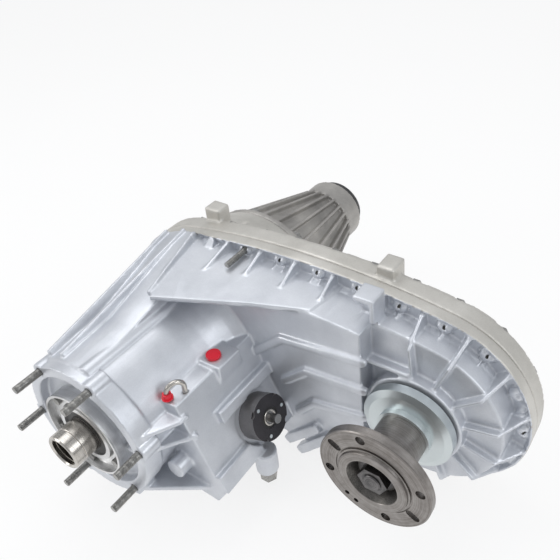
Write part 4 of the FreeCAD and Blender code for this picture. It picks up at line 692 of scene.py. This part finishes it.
def make_stud_tree(material):
    """Threaded rods along Y, one at each point, from the point's own Y towards the case."""
    tree = bpy.data.node_groups.new("threaded studs", "GeometryNodeTree")
    tree.interface.new_socket("Geometry", in_out="INPUT", socket_type="NodeSocketGeometry")
    for label, value in (("Outer Radius", 0.0047), ("Pitch", 0.0012), ("Length", 0.05)):
        tree.interface.new_socket(
            label, in_out="INPUT", socket_type="NodeSocketFloat").default_value = value
    tree.interface.new_socket("Geometry", in_out="OUTPUT", socket_type="NodeSocketGeometry")
    given = put(tree, "NodeGroupInput").outputs
    ridge = put(tree, "ShaderNodeMath", {0: given["Pitch"], 1: 0.5}, operation="MULTIPLY").outputs[0]
    core_radius = put(tree, "ShaderNodeMath", {
        0: given["Outer Radius"], 1: ridge}, operation="SUBTRACT").outputs[0]
    turns = put(tree, "ShaderNodeMath", {
        0: given["Length"], 1: given["Pitch"]}, operation="DIVIDE").outputs[0]
    helix = put(tree, "GeometryNodeCurveSpiral", {
        "Resolution": 20, "Rotations": turns, "Start Radius": core_radius, "End Radius": core_radius,
        "Height": given["Length"]})
    section = put(tree, "GeometryNodeCurvePrimitiveCircle", {"Resolution": 3, "Radius": ridge})
    thread = put(tree, "GeometryNodeCurveToMesh", {
        "Curve": helix.outputs["Curve"], "Profile Curve": section.outputs["Curve"], "Fill Caps": True})
    core = put(tree, "GeometryNodeMeshCylinder", {
        "Vertices": 24, "Radius": core_radius, "Depth": given["Length"]})
    half = put(tree, "ShaderNodeMath", {0: given["Length"], 1: 0.5}, operation="MULTIPLY").outputs[0]
    lift = put(tree, "ShaderNodeCombineXYZ", {"Z": half})
    raised = put(tree, "GeometryNodeTransform", {
        "Geometry": core.outputs["Mesh"], "Translation": lift.outputs[0]})
    rod = put(tree, "GeometryNodeJoinGeometry")
    tree.links.new(thread.outputs["Mesh"], rod.inputs["Geometry"])
    tree.links.new(raised.outputs["Geometry"], rod.inputs["Geometry"])
    laid = put(tree, "GeometryNodeTransform", {
        "Geometry": rod.outputs["Geometry"], "Rotation": (-math.pi / 2, 0.0, 0.0)})
    rods = put(tree, "GeometryNodeInstanceOnPoints", {
        "Points": given["Geometry"], "Instance": laid.outputs["Geometry"]})
    real = put(tree, "GeometryNodeRealizeInstances", {"Geometry": rods.outputs["Instances"]})
    coat = put(tree, "GeometryNodeSetMaterial", {
        "Geometry": real.outputs["Geometry"], "Material": material})
    put(tree, "NodeGroupOutput", {"Geometry": coat.outputs["Geometry"]})
    return tree


def grown_piece(name, points, tree, sizes, body, replaced):
    """One plain mesh from a node tree that repeats a form at points."""
    mesh = bpy.data.meshes.new(name)
    mesh.from_pydata([tuple(point) for point in points], [], [])
    piece = linked(name, mesh)
    growth = piece.modifiers.new("growth", "NODES")
    growth.node_group = tree
    for item in tree.interface.items_tree:
        if item.item_type == "SOCKET" and item.in_out == "INPUT" and item.name in sizes:
            growth[item.identifier] = sizes[item.name]
    piece.data = evaluated_mesh(piece)
    piece.modifiers.clear()
    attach(piece, body)
    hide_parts(replaced)


stud_low, stud_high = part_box("adapter_studs")
STUD_CIRCLE = 0.17145
STUD_PHASE = math.radians(8.6)
STUD_RADIUS = 0.0047625
CASE_STUD_RADIUS = 0.0039
THREAD_PITCH = 0.00127
stud_points = []
for index in range(6):
    angle = STUD_PHASE + index * math.pi / 3
    stud_points.append((STUD_CIRCLE / 2 * math.cos(angle), stud_low.y,
                        STUD_CIRCLE / 2 * math.sin(angle)))
grown_piece("threaded_studs", stud_points, make_stud_tree(STUD_ZINC), {
    "Outer Radius": STUD_RADIUS, "Pitch": THREAD_PITCH, "Length": stud_high.y - stud_low.y},
    "case", "adapter_studs")

case_stud_low, case_stud_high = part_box("case_stud")
stud_x, stud_z = loose_middles("case_stud")[0]
grown_piece("case_stud_rod", [(stud_x, case_stud_low.y, stud_z)], make_stud_tree(STUD_ZINC), {
    "Outer Radius": CASE_STUD_RADIUS, "Pitch": THREAD_PITCH,
    "Length": case_stud_high.y - case_stud_low.y},
    "case", "case_stud")

# Shipping plugs: two red plastic caps, one flat in the upper port and one on the vent tube.
RED_CAP = moulded_finish(
    "red_plastic", (0.72, 0.018, 0.035), (0.86, 0.03, 0.055), 0.34, 1200.0, 0.06)
dress(RED_CAP, "port_plug", "vent_cap")
dress(BRIGHT_STEEL, "vent_tube")

# Drain plug: a dull zinc-plated hexagon in the underside of the shift box.
dress(STUD_ZINC, "drain_plug")


# Setting: a pale floor and room, soft lamps overhead, at the front left and at the right, and the
# photograph's camera.
def make_floor(height, reach):
    """A pale floor that the camera and mirrors see as nearly white."""
    mesh = bpy.data.meshes.new("floor")
    mesh.from_pydata([(-reach, -reach, height), (reach, -reach, height), (reach, reach, height),
                      (-reach, reach, height)], [], [(0, 1, 2, 3)])
    floor = linked("floor", mesh)
    material, tree, shader = new_finish("pale_floor")
    place = put(tree, "ShaderNodeTexCoord").outputs["Object"]
    cloud = put(tree, "ShaderNodeTexNoise", {"Vector": place, "Scale": 3.0, "Detail": 2.0})
    colour = blend_tones(tree, cloud.outputs["Fac"], (0.93, 0.93, 0.93), (0.96, 0.96, 0.96))
    tree.links.new(colour, shader.inputs["Base Color"])
    shader.inputs["Roughness"].default_value = 0.9
    glow = put(tree, "ShaderNodeEmission", {"Color": (1, 1, 1, 1), "Strength": 1.0})
    path = put(tree, "ShaderNodeLightPath")
    seen = put(tree, "ShaderNodeMath", {
        0: path.outputs["Is Camera Ray"], 1: path.outputs["Is Glossy Ray"]}, operation="MAXIMUM")
    seen = put(tree, "ShaderNodeMath", {
        0: seen.outputs[0], 1: path.outputs["Is Transmission Ray"]}, operation="MAXIMUM")
    share = put(tree, "ShaderNodeMath", {0: seen.outputs[0], 1: 0.8}, operation="MULTIPLY")
    mixed = put(tree, "ShaderNodeMixShader", {"Fac": share.outputs[0]})
    tree.links.new(shader.outputs["BSDF"], mixed.inputs[1])
    tree.links.new(glow.outputs["Emission"], mixed.inputs[2])
    out = [item for item in tree.nodes if item.type == "OUTPUT_MATERIAL"][0]
    tree.links.new(mixed.outputs["Shader"], out.inputs["Surface"])
    mesh.materials.append(material)


make_floor(cad_box[0].z - 0.0006, 12.0)


def soft_lamp(name, place, aim, size, power, tint):
    """A rectangular lamp that looks at a point."""
    light = bpy.data.lights.new(name, "AREA")
    light.shape = "RECTANGLE"
    light.size, light.size_y = size
    light.energy = power
    light.color = tint
    lamp = linked(name, light)
    lamp.location = place
    lamp.rotation_euler = (Vector(aim) - Vector(place)).to_track_quat("-Z", "Y").to_euler()


MIDDLE = (0.13, 0.2, 0.0)
soft_lamp("overhead_lamp", (-0.5, 0.3, 1.6), MIDDLE, (1.5, 1.1), 8.8, (1.0, 1.0, 1.0))
soft_lamp("front_left_lamp", (-1.3, -1.2, 0.7), MIDDLE, (0.9, 0.7), 7.5, (1.0, 0.99, 0.97))
soft_lamp("right_lamp", (1.6, 0.3, 0.9), MIDDLE, (0.8, 0.8), 6.5, (0.96, 0.98, 1.0))


def make_surroundings():
    """A room that brightens upwards, white where the camera sees it."""
    world = bpy.data.worlds.new("studio")
    world.use_nodes = True
    tree = world.node_tree
    tree.nodes.clear()
    path = put(tree, "ShaderNodeLightPath")
    place = put(tree, "ShaderNodeTexCoord").outputs["Generated"]
    height = put(tree, "ShaderNodeSeparateXYZ", {"Vector": place}).outputs["Z"]
    climb = put(tree, "ShaderNodeMapRange", {
        "Value": height, "From Min": -0.1, "From Max": 0.9, "To Min": 0.34, "To Max": 0.80})
    room = put(tree, "ShaderNodeBackground", {"Color": (0.95, 0.97, 1.0, 1)})
    tree.links.new(climb.outputs["Result"], room.inputs["Strength"])
    white = put(tree, "ShaderNodeBackground", {"Color": (1, 1, 1, 1), "Strength": 1.0})
    mixed = put(tree, "ShaderNodeMixShader", {"Fac": path.outputs["Is Camera Ray"]})
    tree.links.new(room.outputs["Background"], mixed.inputs[1])
    tree.links.new(white.outputs["Background"], mixed.inputs[2])
    put(tree, "ShaderNodeOutputWorld", {"Surface": mixed.outputs["Shader"]})
    bpy.context.scene.world = world


make_surroundings()


def make_camera(place, azimuth, elevation, roll, focal, centre):
    """The photograph's view: focal length and picture centre in pixels of its square frame."""
    frame_width = 560.0
    sensor = 36.0
    data = bpy.data.cameras.new("camera")
    data.sensor_width = sensor
    data.lens = focal / frame_width * sensor
    data.shift_x = (frame_width / 2 - centre[0]) / frame_width
    data.shift_y = (centre[1] - frame_width / 2) / frame_width
    data.clip_start = 0.01
    data.clip_end = 50.0
    turn, rise = math.radians(azimuth), math.radians(elevation)
    ahead = Vector((-math.sin(turn) * math.cos(rise), math.cos(turn) * math.cos(rise),
                    -math.sin(rise)))
    level = ahead.cross(Vector((0, 0, 1))).normalized()
    upright = level.cross(ahead)
    tilt = math.radians(roll)
    right = level * math.cos(tilt) + upright * math.sin(tilt)
    up = right.cross(ahead)
    camera = linked("camera", data)
    turned = Matrix((right, up, -ahead)).transposed().to_4x4()
    camera.matrix_world = Matrix.Translation(Vector(place)) @ turned
    bpy.context.scene.camera = camera


make_camera((0.5326, -0.2582, 0.6026), 33.888, 34.179, -3.555, 674.23, (339.6, 227.73))

bpy.context.scene.view_settings.view_transform = "Standard"
